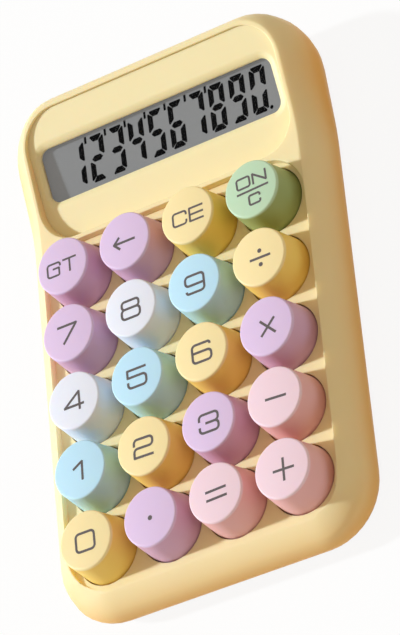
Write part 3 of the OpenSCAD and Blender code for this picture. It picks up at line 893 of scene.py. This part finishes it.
@dataclass
class KeyCaps:
    """Round key caps: a tapered hollow cup with a stem and four holding lugs."""

    cup: Cup = Cup(sides=96, foot_r=9.05 * MM, top_r=7.95 * MM, wall=1.3 * MM, edge_r=0.45 * MM, edge_steps=4,
                   stem_r=2.5 * MM, stem_gap=0.1 * MM)
    deck_z: float = 13.5 * MM
    lug_t: float = 1.2 * MM
    lug_w: float = 4.0 * MM
    lug_reach: float = 1.4 * MM
    angles: tuple[float, ...] = (45.0, 135.0, 225.0, 315.0)

    def template(self, low_z: float, top_z: float) -> bpy.types.Object:
        """Model one cap about the upright axis through the origin.

        Args:
            low_z: Height of the skirt's lower edge.
            top_z: Height of the cap's top.

        Returns:
            The cap.
        """
        piece = self.cup.model(low_z, self.deck_z, top_z)
        half_wall = self.cup.wall / 2
        length = self.lug_reach + half_wall
        middle = self.cup.foot_r - half_wall + length / 2
        with Editing(piece):
            for angle in map(math.radians, self.angles):
                bpy.ops.mesh.primitive_cube_add(
                    size=1.0, rotation=(0.0, 0.0, angle), scale=(length, self.lug_w, self.lug_t),
                    location=(middle * math.cos(angle), middle * math.sin(angle), low_z + self.lug_t / 2))
        smooth(piece)
        return piece

    def build(self) -> None:
        """Copy the cap to each key's place, in its own colour."""
        nodes = key_nodes()
        low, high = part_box(nodes[0])
        model = self.template(low.z, high.z)
        for node in nodes:
            top = key_top(node)
            piece = copy_of(model, node.replace(KEY_START, "cap_"), Matrix.Translation((top.x, top.y, 0.0)))
            seat(piece, Palette.KEYS[SLOT_OF[node]], node, SLOT_OF[node], node)
        remove([model])


class Turn(Enum):
    """Quarter bends of the legend pen, in degrees."""

    LEFT = 90.0
    RIGHT = -90.0


@dataclass(frozen=True)
class Stroke:
    """One pen stroke: where it starts, its heading in degrees, and its straight runs and bends.

    A number in moves is a straight run in millimetres, a pair is a bend in degrees and its radius.
    """

    start: tuple[float, float]
    heading: float
    moves: tuple[float | tuple[float, float], ...]
    closed: bool = False

    @staticmethod
    def bar(x0: float, y0: float, x1: float, y1: float) -> "Stroke":
        """Make a straight stroke between two points."""
        return Stroke((x0, y0), math.degrees(math.atan2(y1 - y0, x1 - x0)), (math.hypot(x1 - x0, y1 - y0),))

    def moved(self, x: float, y: float) -> "Stroke":
        """Shift the stroke by x and y."""
        return replace(self, start=(self.start[0] + x, self.start[1] + y))

    def turned_over(self) -> "Stroke":
        """Give the stroke half a turn about the origin."""
        return replace(self, start=(-self.start[0], -self.start[1]), heading=self.heading + 180.0)


Strokes = tuple[Stroke, ...]


@dataclass(frozen=True)
class Letter:
    """Half width, half height and corner radius of a legend's centre line, in millimetres."""

    UPWARDS = 90.0
    DOWNWARDS = -90.0
    # The closing bar of 6 and 9 stops this far before the stroke that it meets
    MEET = 0.45
    w: float
    h: float
    r: float

    def ring(self, y0: float, y1: float) -> Stroke:
        """Make a closed rounded frame.

        Args:
            y0: Its lower end.
            y1: Its upper end.

        Returns:
            The frame.
        """
        right = (Turn.RIGHT.value, self.r)
        half = ((y1 - y0) - 2 * self.r, right, 2 * (self.w - self.r), right)
        return Stroke((-self.w, y0 + self.r), self.UPWARDS, half + half, True)

    def digits(self) -> dict[str, Strokes]:
        """Draw the ten digits.

        Returns:
            The strokes of each digit.
        """
        w, h, r, bar = self.w, self.h, self.r, Stroke.bar
        left, right = (Turn.LEFT.value, r), (Turn.RIGHT.value, r)
        across, fall = 2 * (w - r), h - 2 * r
        one_x, flag_x, flag_y = 0.34 * w, -0.62 * w, 0.34 * h
        four_x, four_y, four_end = 0.66 * w, -0.48 * h, 1.1 * w
        hook, lip, tail = 0.6 * r, 0.5 * r, 0.2 * r
        three_in = w - r + 0.3 * w
        five_y, six_y, waist = 0.2 * h, 0.1 * h, 0.12 * h
        seven_x, seven_foot = 1.04 * w, -0.48 * w
        upper = Letter(0.93 * w, h, 0.85 * r)
        six = Stroke((w - tail, h - hook), self.UPWARDS, (
            (Turn.LEFT.value, hook), across + tail, left, 2 * (h - r), left, across, left,
            fall + six_y, left, across + r - self.MEET))
        return {
            "0": (self.ring(-h, h),),
            "1": (bar(one_x, -h, one_x, h), bar(one_x, h, flag_x, flag_y)),
            "2": (Stroke((-w, h - r - hook), self.UPWARDS, (
                hook, right, across, right, fall, right, across, left, h - r)), bar(-w, -h, w, -h)),
            "3": (Stroke((-w, h - r - lip), self.UPWARDS, (lip, right, across, right, fall, right, three_in)),
                  Stroke((-w, r + lip - h), self.DOWNWARDS, (lip, left, across, left, fall, left, three_in))),
            "4": (bar(four_x, h, -w, four_y), bar(-w, four_y, four_end, four_y), bar(four_x, h, four_x, -h)),
            "5": (bar(w, h, -w, h), bar(-w, h, -w, five_y), Stroke((-w, five_y), 0.0, (
                across + r, right, fall + five_y, right, across, right, lip))),
            "6": (six,),
            "7": (bar(-seven_x, h, seven_x, h), bar(seven_x, h, seven_foot, -h)),
            "8": (upper.ring(waist, h), self.ring(-h, waist)),
            "9": (six.turned_over(),),
        }

    def letters(self) -> dict[str, Strokes]:
        """Draw the letters that the keys need.

        Returns:
            The strokes of each letter.
        """
        w, h, r, bar = self.w, self.h, self.r, Stroke.bar
        left, left_small, left_tight = ((Turn.LEFT.value, share * r) for share in (1.0, 0.5, 0.2))
        across, side = 2 * (w - r), 2 * (h - r)
        g_lip, c_lip = 0.3 * r, 0.4 * r
        return {
            "C": (Stroke((w, h - r - c_lip), self.UPWARDS, (
                c_lip, left, across, left, side, left, across, left, c_lip)),),
            "E": (bar(-w, -h, -w, h), *(bar(-w, y, w, y) for y in (-h, 0.0, h))),
            "G": (Stroke((w, h - r - g_lip), self.UPWARDS, (
                g_lip, left, across, left, side, left, across, left_small, h - g_lip, left_tight,
                w - c_lip)),),
            "N": (bar(-w, -h, -w, h), bar(-w, h, w, -h), bar(w, -h, w, h)),
            "O": (self.ring(-h, h),),
            "T": (bar(-w, h, w, h), bar(0.0, h, 0.0, -h)),
        }


@dataclass(frozen=True)
class Print:
    """A key's legend: its strokes and its round dots, in millimetres about the key's middle."""

    strokes: Strokes = ()
    dots: tuple[tuple[float, float, float], ...] = ()
    thin: bool = False


@dataclass
class Legends:
    """Printed legends on the key tops, drawn with a flat pen. Sizes without MM are in millimetres."""

    pen: float = 0.68
    thin_pen: float = 0.56
    nib_share: float = 0.25
    step: float = 0.004
    arc_steps: int = 6
    raise_z: float = 0.03 * MM
    sink_z: float = 0.03 * MM
    dot_sides: int = 32
    shift: tuple[float, float] = (0.2, -0.4)
    spread: float = 0.01
    digit: Letter = Letter(2.85, 2.5, 1.05)
    large: Letter = Letter(2.05, 1.85, 0.75)
    small: Letter = Letter(1.95, 1.45, 0.6)
    lower: Letter = Letter(1.65, 1.35, 0.55)
    LEAN = {"key_on": 2.5, "key_equals": 2.0, "key_minus": -3.0, "key_plus": -1.5, "key_2": -1.5,
            "key_1": -2.0}

    def word(self, *parts: tuple[Letter, str, float, float]) -> Strokes:
        """Set letters at their places, each given as its size, its character, x and y."""
        return tuple(stroke.moved(x, y) for size, name, x, y in parts for stroke in size.letters()[name])

    def prints(self) -> dict[str, Print]:
        """List every key's legend.

        Returns:
            Prints by node.
        """
        rule, cross, equal, line, line_y = 2.95, 2.05, 1.15, 4.7, 2.85
        shaft, tip, barb_x, barb_y = 3.2, 3.3, 1.6, 1.65
        dot_y, dot_r, point_r = 1.95, 0.6, 0.66
        bar, large, small = Stroke.bar, self.large, self.small
        level = bar(-rule, 0.0, rule, 0.0)
        made = {name: Print(strokes) for name, strokes in self.digit.digits().items()}
        made["gt"] = Print(self.word((large, "G", -2.6, 0.0), (large, "T", 2.5, 0.0)), thin=True)
        made["ce"] = Print(self.word((large, "C", -2.6, 0.0), (large, "E", 2.6, 0.0)), thin=True)
        made["on"] = Print(self.word((small, "O", -2.5, line_y), (small, "N", 2.45, line_y))
                           + (bar(-line, 0.0, line, 0.0),) + self.word((self.lower, "C", 0.2, -2.8)),
                           thin=True)
        made["back"] = Print((bar(-shaft, 0.0, shaft, 0.0), bar(-tip, 0.0, -barb_x, barb_y),
                              bar(-tip, 0.0, -barb_x, -barb_y)))
        made["plus"] = Print((level, bar(0.0, -rule, 0.0, rule)))
        made["minus"] = Print((level,))
        made["times"] = Print((bar(-cross, -cross, cross, cross), bar(-cross, cross, cross, -cross)))
        made["equals"] = Print((level.moved(0.0, equal), level.moved(0.0, -equal)))
        made["divide"] = Print((level,), ((0.0, dot_y, dot_r), (0.0, -dot_y, dot_r)))
        made["point"] = Print((), ((0.0, 0.0, point_r),))
        return {KEY_START + name: legend for name, legend in made.items()}

    def lay_nib(self, piece: bpy.types.Object, spot: Vector, angle: float, pen: float) -> None:
        """Lay the pen's flat nib behind a spot and pick its front edge.

        Args:
            piece: The legend, in edit mode.
            spot: Where the stroke starts, in millimetres.
            angle: Heading of the stroke, in radians.
            pen: Width of the nib, in millimetres.
        """
        ahead = Vector((math.cos(angle), math.sin(angle), 0.0))
        half = self.nib_share * pen * MM / 2
        middle = spot * MM - ahead * half
        bpy.ops.mesh.select_all(action="DESELECT")
        bpy.ops.mesh.primitive_plane_add(size=1.0, location=middle, rotation=(0.0, 0.0, angle))
        bpy.ops.transform.resize(value=(pen * MM,) * 3, center_override=middle)
        mesh = bmesh.from_edit_mesh(piece.data)
        tip = [v for v in mesh.verts if v.select]
        front = set()
        for vert in tip:
            part = (vert.co - middle).dot(ahead)
            vert.co += ahead * (math.copysign(half, part) - part)
            if part > 0.0:
                front.add(vert)
        for face in mesh.faces:
            face.select_set(False)
        for edge in mesh.edges:
            edge.select_set(front.issuperset(edge.verts))
        mesh.select_flush_mode()
        bmesh.update_edit_mesh(piece.data)

    def draw_stroke(self, piece: bpy.types.Object, stroke: Stroke, pen: float, level: float) -> None:
        """Draw one stroke as a flat ribbon.

        Args:
            piece: The legend, in edit mode.
            stroke: The stroke.
            pen: Width of the ribbon, in millimetres.
            level: Height of the ribbon, in millimetres, so that crossing strokes don't share a plane.
        """
        def pull(length: float) -> None:
            """Pull the ribbon's end straight ahead by a length in millimetres."""
            bpy.ops.mesh.extrude_edges_move(TRANSFORM_OT_translate={"value": ahead * length * MM})

        angle = math.radians(stroke.heading)
        ahead = Vector((math.cos(angle), math.sin(angle), 0.0))
        nib = self.nib_share * pen
        lead = nib if stroke.closed else 0.0
        spot = Vector((*stroke.start, level)) + ahead * lead
        self.lay_nib(piece, spot, angle, pen)
        for move in stroke.moves:
            if isinstance(move, tuple):
                degrees, radius = move
                centre = spot + Vector((-ahead.y, ahead.x, 0.0)) * math.copysign(radius, degrees)
                bpy.ops.mesh.spin(steps=self.arc_steps, angle=-math.radians(degrees), center=centre * MM,
                                  axis=UP)
                turn = Matrix.Rotation(math.radians(degrees), 3, UP)
                spot = centre + turn @ (spot - centre)
                ahead = turn @ ahead
            elif move > lead:
                pull(move - lead)
                spot = spot + ahead * (move - lead)
                lead = 0.0
        if not stroke.closed:
            pull(nib)

    def draw(self, name: str, legend: Print) -> bpy.types.Object:
        """Draw a legend flat about the origin and give it the ink's thickness.

        Args:
            name: Name of the piece.
            legend: What is drawn.

        Returns:
            The legend.
        """
        piece = add_to_scene(name, bpy.data.meshes.new(name))
        pen = self.thin_pen if legend.thin else self.pen
        with Editing(piece, Select.EDGES) as edit:
            for index, stroke in enumerate(legend.strokes):
                self.draw_stroke(piece, stroke, pen, index * self.step)
            for x, y, radius in legend.dots:
                bpy.ops.mesh.primitive_circle_add(vertices=self.dot_sides, radius=radius * MM,
                                                  fill_type="NGON", location=(x * MM, y * MM, 0.0))
            edit.thicken(self.raise_z + self.sink_z)
        return piece

    def build(self) -> None:
        """Print every key."""
        for node, legend in self.prints().items():
            top = key_top(node)
            place = Vector((top.x + self.shift[0] * MM + self.spread * top.x, top.y + self.shift[1] * MM,
                            top.z - self.sink_z))
            lean = Matrix.Rotation(math.radians(self.LEAN.get(node, 0.0)), 4, UP)
            piece = self.draw(node.replace(KEY_START, "legend_"), legend)
            piece.data.transform(Matrix.Translation(place) @ lean)
            seat(piece, Palette.INK, node, "legend_ink")


class Segment(Enum):
    """Bars of a seven-segment digit: which side and which level of the digit each one is on."""

    TOP = (0.0, 1.0)
    UPPER_RIGHT = (1.0, 0.5)
    LOWER_RIGHT = (1.0, -0.5)
    BOTTOM = (0.0, -1.0)
    LOWER_LEFT = (-1.0, -0.5)
    UPPER_LEFT = (-1.0, 0.5)
    MIDDLE = (0.0, 0.0)


@dataclass
class Display:
    """The display cell's black digits and the clear window over them."""

    pitch: float = 6.5 * MM
    last_x: float = 30.75 * MM
    middle_y: float = 0.25 * MM
    width: float = 4.9 * MM
    height: float = 12.3 * MM
    bar: float = 1.6 * MM
    gap: float = 0.27 * MM
    clip: float = 0.5 * MM
    slope: float = 0.85
    slant: float = 9.5
    tick: tuple[float, float] = (0.7 * MM, 1.8 * MM)
    tick_lift: float = 0.45 * MM
    ticks: int = 7
    point: float = 1.0 * MM
    point_sides: int = 24
    ink_t: float = 0.03 * MM
    ink_lift: float = 0.01 * MM
    window_gap: float = 0.1 * MM
    window_corner: float = 4.2 * MM
    window_corner_steps: int = 8
    window_edge: float = 0.15 * MM
    window_edge_steps: int = 2
    text: str = "1234567890"
    BARS = dict(zip("abcdefg", Segment))
    LIT = {"0": "abcdef", "1": "bc", "2": "abged", "3": "abgcd", "4": "fbgc", "5": "afgcd", "6": "afgecd",
           "7": "abc", "8": "abcdefg", "9": "abcdfg"}

    def add_bar(self, middle: Vector, size: tuple[float, float], turn: float, taper: float,
                clipped: bool) -> None:
        """Add one bar with slanted ends, its long side outwards.

        Args:
            middle: Middle of the bar.
            size: Thickness of the bar and length of its long side.
            turn: Direction of its outer side, in degrees from +Y.
            taper: How much shorter the inner side is at each end.
            clipped: Whether the sharp outer corners are cut off.
        """
        thick, length = size
        angle = math.radians(turn)
        outward = Vector((-math.sin(angle), math.cos(angle), 0.0))
        along = Vector((math.cos(angle), math.sin(angle), 0.0))
        bpy.ops.mesh.select_all(action="DESELECT")
        bpy.ops.mesh.primitive_plane_add(size=thick, location=middle, rotation=(0.0, 0.0, angle))
        mesh = bmesh.from_edit_mesh(bpy.context.object.data)
        for vert in [v for v in mesh.verts if v.select]:
            local = vert.co - middle
            inner = local.dot(outward) < 0.0
            reach = length / 2 - (taper if inner else 0.0)
            vert.co = middle + outward * local.dot(outward) + along * math.copysign(reach, local.dot(along))
            vert.select_set(not inner)
        mesh.select_flush_mode()
        bmesh.update_edit_mesh(bpy.context.object.data)
        if clipped:
            bpy.ops.mesh.bevel(offset=self.clip, segments=1, affect="VERTICES")

    def add_digit(self, x: float, character: str) -> None:
        """Add the lit bars of one digit, upright, about x.

        Args:
            x: Middle of the digit.
            character: The digit.
        """
        half_w, half_h, half_bar = self.width / 2, self.height / 2, self.bar / 2
        taper = self.slope * self.bar
        for segment in (self.BARS[letter] for letter in self.LIT[character]):
            side, level = segment.value
            if segment is Segment.MIDDLE:
                size = (half_bar, self.width - half_bar - 2 * self.gap)
                self.add_bar(Vector((x, half_bar / 2, 0.0)), size, 180.0, half_bar, False)
                self.add_bar(Vector((x, -half_bar / 2, 0.0)), size, 0.0, half_bar, False)
            elif side == 0.0:
                middle = Vector((x, level * (half_h - half_bar), 0.0))
                self.add_bar(middle, (self.bar, self.width - 2 * self.gap), 90.0 * (1.0 - level), taper, True)
            else:
                middle = Vector((x + side * (half_w - half_bar), level * half_h, 0.0))
                self.add_bar(middle, (self.bar, half_h - 2 * self.gap), -90.0 * side, taper, True)

    def add_tick(self, x: float) -> None:
        """Add the small tick at the upper end of a gap between two digits.

        Args:
            x: Middle of the gap.
        """
        spot = (x, (self.height - self.tick[1]) / 2 + self.tick_lift, 0.0)
        bpy.ops.mesh.select_all(action="DESELECT")
        bpy.ops.mesh.primitive_plane_add(size=1.0, location=spot)
        bpy.ops.transform.resize(value=(*self.tick, 1.0), center_override=spot)

    def digits(self, panel: Panel) -> bpy.types.Object:
        """Lay the digits on the display cell's face.

        Args:
            panel: The panel's plane.

        Returns:
            The digits as one piece.
        """
        face_z = panel.box("lcd_glass")[1].z
        window_low, window_high = panel.box("display_window")
        piece = add_to_scene("display_digits", bpy.data.meshes.new("display_digits"))
        with Editing(piece, Select.POINTS) as edit:
            for index, character in enumerate(self.text):
                x = self.last_x - (len(self.text) - 1 - index) * self.pitch
                self.add_digit(x, character)
                if index < self.ticks:
                    self.add_tick(x + self.pitch / 2)
            bpy.ops.mesh.select_all(action="DESELECT")
            bpy.ops.mesh.primitive_circle_add(
                vertices=self.point_sides, radius=self.point / 2, fill_type="NGON",
                location=(self.last_x + self.pitch / 2, (self.point - self.height) / 2, 0.0))
            edit.thicken(self.ink_t)
        lean = Matrix.Identity(4)
        lean[0][1] = math.tan(math.radians(self.slant))
        middle = Vector((0.0, (window_low.y + window_high.y) / 2 + self.middle_y, face_z + self.ink_lift))
        piece.data.transform(panel.place @ Matrix.Translation(middle) @ lean)
        return piece

    def window(self, panel: Panel) -> bpy.types.Object:
        """Model the clear cover as a plate with round corners and soft edges.

        Args:
            panel: The panel's plane.

        Returns:
            The window.
        """
        low, high = panel.box("display_window")
        bpy.ops.object.select_all(action="DESELECT")
        bpy.ops.mesh.primitive_plane_add(size=1.0, location=ORIGIN)
        piece = bpy.context.object
        piece.name = "clear_window"
        with Editing(piece, Select.POINTS) as edit:
            edit.all()
            edit.resize((high.x - low.x, high.y - low.y, 1.0), ORIGIN)
            bpy.ops.mesh.bevel(offset=self.window_corner, segments=self.window_corner_steps,
                               affect="VERTICES")
            edit.pick_by(Select.FACES)
            edit.all()
            edit.extrude(high.z - low.z - self.window_gap)
            edit.merge()
            edit.face_out()
        apply_modifier(piece, "BEVEL", width=self.window_edge, segments=self.window_edge_steps,
                       limit_method="ANGLE")
        smooth(piece)
        middle = Vector(((low.x + high.x) / 2, (low.y + high.y) / 2, low.z + self.window_gap))
        piece.data.transform(panel.place @ Matrix.Translation(middle))
        return piece

    def build(self, panel: Panel) -> None:
        """Make the digits and the window, and dress the display cell.

        Args:
            panel: The panel's plane.
        """
        seat(self.digits(panel), Palette.SEGMENT, CASE_BODY, "legend_ink")
        seat(self.window(panel), Palette.WINDOW, CASE_BODY, SLOT_OF["display_window"], "display_window")
        dress(frame["nodes"]["lcd_glass"], Palette.DISPLAY)


@dataclass
class Underside:
    """Rubber feet and cross-head screws under the case."""

    foot_sides: int = 48
    foot_edge: float = 0.35 * MM
    foot_dish: float = 0.2 * MM
    foot_rim: float = 0.9 * MM
    dish_share: float = 0.9
    slot_w: float = 0.55 * MM
    slot_l: float = 2.3 * MM
    slot_depth: float = 0.8 * MM
    head_edge: float = 0.25 * MM
    edge_steps: int = 3

    def islands(self, node: str) -> list[bpy.types.Object]:
        """Copy a node and take its separate solids apart.

        Args:
            node: Name of the node.

        Returns:
            One object for each solid.
        """
        piece = merged_copy(node, f"{node}_part")
        with Editing(piece) as edit:
            edit.all()
            bpy.ops.mesh.separate(type="LOOSE")
        return list(bpy.context.selected_objects)

    def soften_lowest(self, edit: Editing, low_z: float, width: float) -> None:
        """Round the edges that lie at a piece's lowest level."""
        edit.edges(lambda a, b: max(a.z, b.z) < low_z + TOLERANCE)
        edit.bevel(width, self.edge_steps)

    def foot(self, part: bpy.types.Object) -> bpy.types.Object:
        """Model one foot with a soft edge and a shallow dish underneath.

        Args:
            part: The plain foot, whose place and size it takes.

        Returns:
            The new foot.
        """
        low, high = box_of(part.bound_box)
        middle = (low + high) / 2
        bpy.ops.object.select_all(action="DESELECT")
        bpy.ops.mesh.primitive_cylinder_add(vertices=self.foot_sides, radius=(high.x - low.x) / 2,
                                            depth=high.z - low.z, location=middle)
        piece = bpy.context.object
        bpy.ops.object.transform_apply(location=True)
        with Editing(piece) as edit:
            self.soften_lowest(edit, low.z, self.foot_edge)
            edit.faces(lambda normal: normal.z < DOWN)
            bpy.ops.mesh.inset(thickness=self.foot_rim)
            edit.extrude(self.foot_dish)
            edit.resize((self.dish_share, self.dish_share, 1.0), (middle.x, middle.y, 0.0))
        return piece

    def screw(self, piece: bpy.types.Object) -> bpy.types.Object:
        """Round a screw's head and cut a cross recess into it.

        Args:
            piece: The plain screw.

        Returns:
            The same screw.
        """
        low, high = box_of(piece.bound_box)
        middle = (low + high) / 2
        with Editing(piece) as edit:
            self.soften_lowest(edit, low.z, self.head_edge)
        cutters = []
        for across in ((self.slot_l, self.slot_w), (self.slot_w, self.slot_l)):
            bpy.ops.object.select_all(action="DESELECT")
            bpy.ops.mesh.primitive_cube_add(size=1.0, location=(middle.x, middle.y, low.z),
                                            scale=(*across, 2 * self.slot_depth))
            cutters.append(bpy.context.object)
        for cutter in cutters:
            apply_modifier(piece, "BOOLEAN", operation="DIFFERENCE", object=cutter)
        remove(cutters)
        return piece

    def build(self) -> None:
        """Make the four feet and the case screws."""
        parts = self.islands("rubber_feet")
        feet = [self.foot(part) for part in parts]
        remove(parts)
        seat(join(feet, "rubber_feet_soft"), Palette.RUBBER, CASE_BODY, SLOT_OF["rubber_feet"], "rubber_feet")
        screws = [self.screw(part) for part in self.islands("case_screws")]
        seat(join(screws, "cross_screws"), Palette.STEEL, CASE_BODY, SLOT_OF["case_screws"], "case_screws")


@dataclass
class DomeMat:
    """Silicone sheet over the board, with a hollow dome under each key."""

    NODE = "dome_mat"
    sheet_t: float = 0.9 * MM
    shave: float = 0.01 * MM
    dome: Cup = Cup(sides=48, foot_r=5.5 * MM, top_r=3.2 * MM, wall=0.7 * MM, edge_r=0.4 * MM, edge_steps=3)
    pressed: float = 0.17

    def sheet(self, level: float) -> bpy.types.Object:
        """Cut the sheet out of a copy of the mat.

        Args:
            level: Height of the sheet's upper face.

        Returns:
            The sheet, open under each dome.
        """
        piece = merged_copy(self.NODE, "mat_sheet")
        with Editing(piece) as edit:
            edit.all()
            bpy.ops.mesh.bisect(plane_co=(0.0, 0.0, level - self.shave), plane_no=UP, use_fill=True,
                                clear_outer=True, threshold=TOLERANCE)
            edit.merge()
            edit.face_out()
        return piece

    def build(self) -> None:
        """Lay the sheet and put a dome under each key."""
        low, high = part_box(self.NODE)
        level = low.z + self.sheet_t
        seat(self.sheet(level), Palette.SILICONE, CASE_BODY, SLOT_OF[self.NODE], self.NODE)
        model = self.dome.model(level, level, high.z)
        smooth(model)
        for node in key_nodes():
            top = key_top(node)
            dome = copy_of(model, node.replace(KEY_START, "dome_"), Matrix.Translation((top.x, top.y, 0.0)))
            seat(dome, Palette.SILICONE, CASE_BODY, SLOT_OF[self.NODE])
            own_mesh(dome)
        remove([model])


class Inside:
    """Finishes of the pieces inside the case, which keep their solids' own shapes."""

    FINISHES = {
        "display_ribbon": Palette.FILM, "main_board": Palette.BOARD, "chip_cover": Palette.CHIP,
        "board_screws": Palette.STEEL, "battery": Palette.JACKET,
        "battery_spring": Palette.NICKEL, "battery_plate": Palette.NICKEL,
    }

    def build(self) -> None:
        """Dress each inner piece."""
        for node, finish in self.FINISHES.items():
            dress(frame["nodes"][node], finish)


@dataclass
class Studio:
    """Plain pale floor, soft light from the left and the camera of the view."""

    floor_half: float = 6.0
    floor_shadow: float = 0.1
    paper: Colour = (0.86, 0.86, 0.86, 1.0)
    sun_strength: float = 3.45
    sun_colour: tuple[float, float, float] = (0.85, 0.93, 1.0)
    sun_angle: float = 4.0
    sun_azimuth: float = -94.0
    sun_elevation: float = 35.0
    ambient: float = 0.49
    ambient_colour: Colour = (1.0, 0.82, 0.6, 1.0)
    aim: tuple[float, float, float] = (3.96 * MM, -2.06 * MM, 12.0 * MM)
    distance: float = 1.01055
    azimuth: float = 46.524
    elevation: float = 49.365
    roll: float = -60.076
    lens: float = 221.83
    sensor: float = 36.0
    near: float = 0.05
    far: float = 50.0

    def direction(self, azimuth: float, elevation: float) -> Vector:
        """Give the way from the object to a stand at two angles, azimuth from the front towards +X."""
        a, e = math.radians(azimuth), math.radians(elevation)
        return Vector((math.sin(a) * math.cos(e), -math.cos(a) * math.cos(e), math.sin(e)))

    def camera(self) -> None:
        """Set up the camera."""
        data = bpy.data.cameras.new("camera")
        data.lens = self.lens
        data.sensor_width = self.sensor
        data.clip_start = self.near
        data.clip_end = self.far
        stand = bpy.data.objects.new("camera", data)
        back = self.direction(self.azimuth, self.elevation)
        turn = back.to_track_quat("Z", "Y").to_matrix() @ Matrix.Rotation(math.radians(self.roll), 3, "Z")
        stand.matrix_world = Matrix.Translation(Vector(self.aim) + back * self.distance) @ turn.to_4x4()
        bpy.context.scene.collection.objects.link(stand)
        bpy.context.scene.camera = stand

    def seen(self, build: Nodes) -> bpy.types.NodeSocket:
        """Mask the rays that see the ground directly, in a mirror or through glass.

        Args:
            build: The tree that gets the nodes.

        Returns:
            The mask.
        """
        path = build.add("ShaderNodeLightPath").outputs
        mirror = build.math("MAXIMUM", path["Is Glossy Ray"], path["Is Transmission Ray"])
        return build.math("MAXIMUM", path["Is Camera Ray"], mirror)

    def floor(self) -> None:
        """Lay the floor, white to the eye with a faint shadow."""
        bpy.ops.object.select_all(action="DESELECT")
        bpy.ops.mesh.primitive_plane_add(size=2 * self.floor_half)
        ground = bpy.context.object
        ground.name = "floor"
        material, build = new_material("floor_paper")
        paper = build.add("ShaderNodeBsdfDiffuse", {"Color": self.paper})
        white = build.add("ShaderNodeEmission", {"Color": WHITE, "Strength": 1.0})
        share = build.math("MULTIPLY", self.seen(build), 1.0 - self.floor_shadow)
        mixed = build.add("ShaderNodeMixShader", {0: share, 1: paper.outputs[0], 2: white.outputs[0]})
        build.add("ShaderNodeOutputMaterial", {"Surface": mixed.outputs[0]})
        ground.data.materials.append(material)

    def light(self) -> None:
        """Set the low sun-like lamp and the soft light all round."""
        data = bpy.data.lights.new("window_light", "SUN")
        data.energy = self.sun_strength
        data.color = self.sun_colour
        data.angle = math.radians(self.sun_angle)
        lamp = bpy.data.objects.new("window_light", data)
        towards = self.direction(self.sun_azimuth, self.sun_elevation)
        lamp.rotation_euler = towards.to_track_quat("Z", "Y").to_euler()
        bpy.context.scene.collection.objects.link(lamp)
        world = bpy.data.worlds.new("studio")
        bpy.context.scene.world = world
        world.use_nodes = True
        build = Nodes(world.node_tree)
        soft = build.add("ShaderNodeBackground", {"Color": self.ambient_colour, "Strength": self.ambient})
        white = build.add("ShaderNodeBackground", {"Color": WHITE, "Strength": 1.0})
        mixed = build.add("ShaderNodeMixShader", {
            0: self.seen(build), 1: soft.outputs[0], 2: white.outputs[0]})
        build.add("ShaderNodeOutputWorld", {"Surface": mixed.outputs[0]})

    def build(self) -> None:
        """Set the stage."""
        self.camera()
        self.floor()
        self.light()
        bpy.context.scene.view_settings.view_transform = "Standard"
        log.info("studio is set")


def main() -> None:
    """Build the calculator's looks in order."""
    logging.basicConfig(level=logging.INFO, format="%(message)s")
    Studio().build()
    panel = Panel()
    Mouldings().build(panel)
    KeyCaps().build()
    Legends().build()
    Display().build(panel)
    Underside().build()
    DomeMat().build()
    Inside().build()


if __name__ == "__main__":
    main()
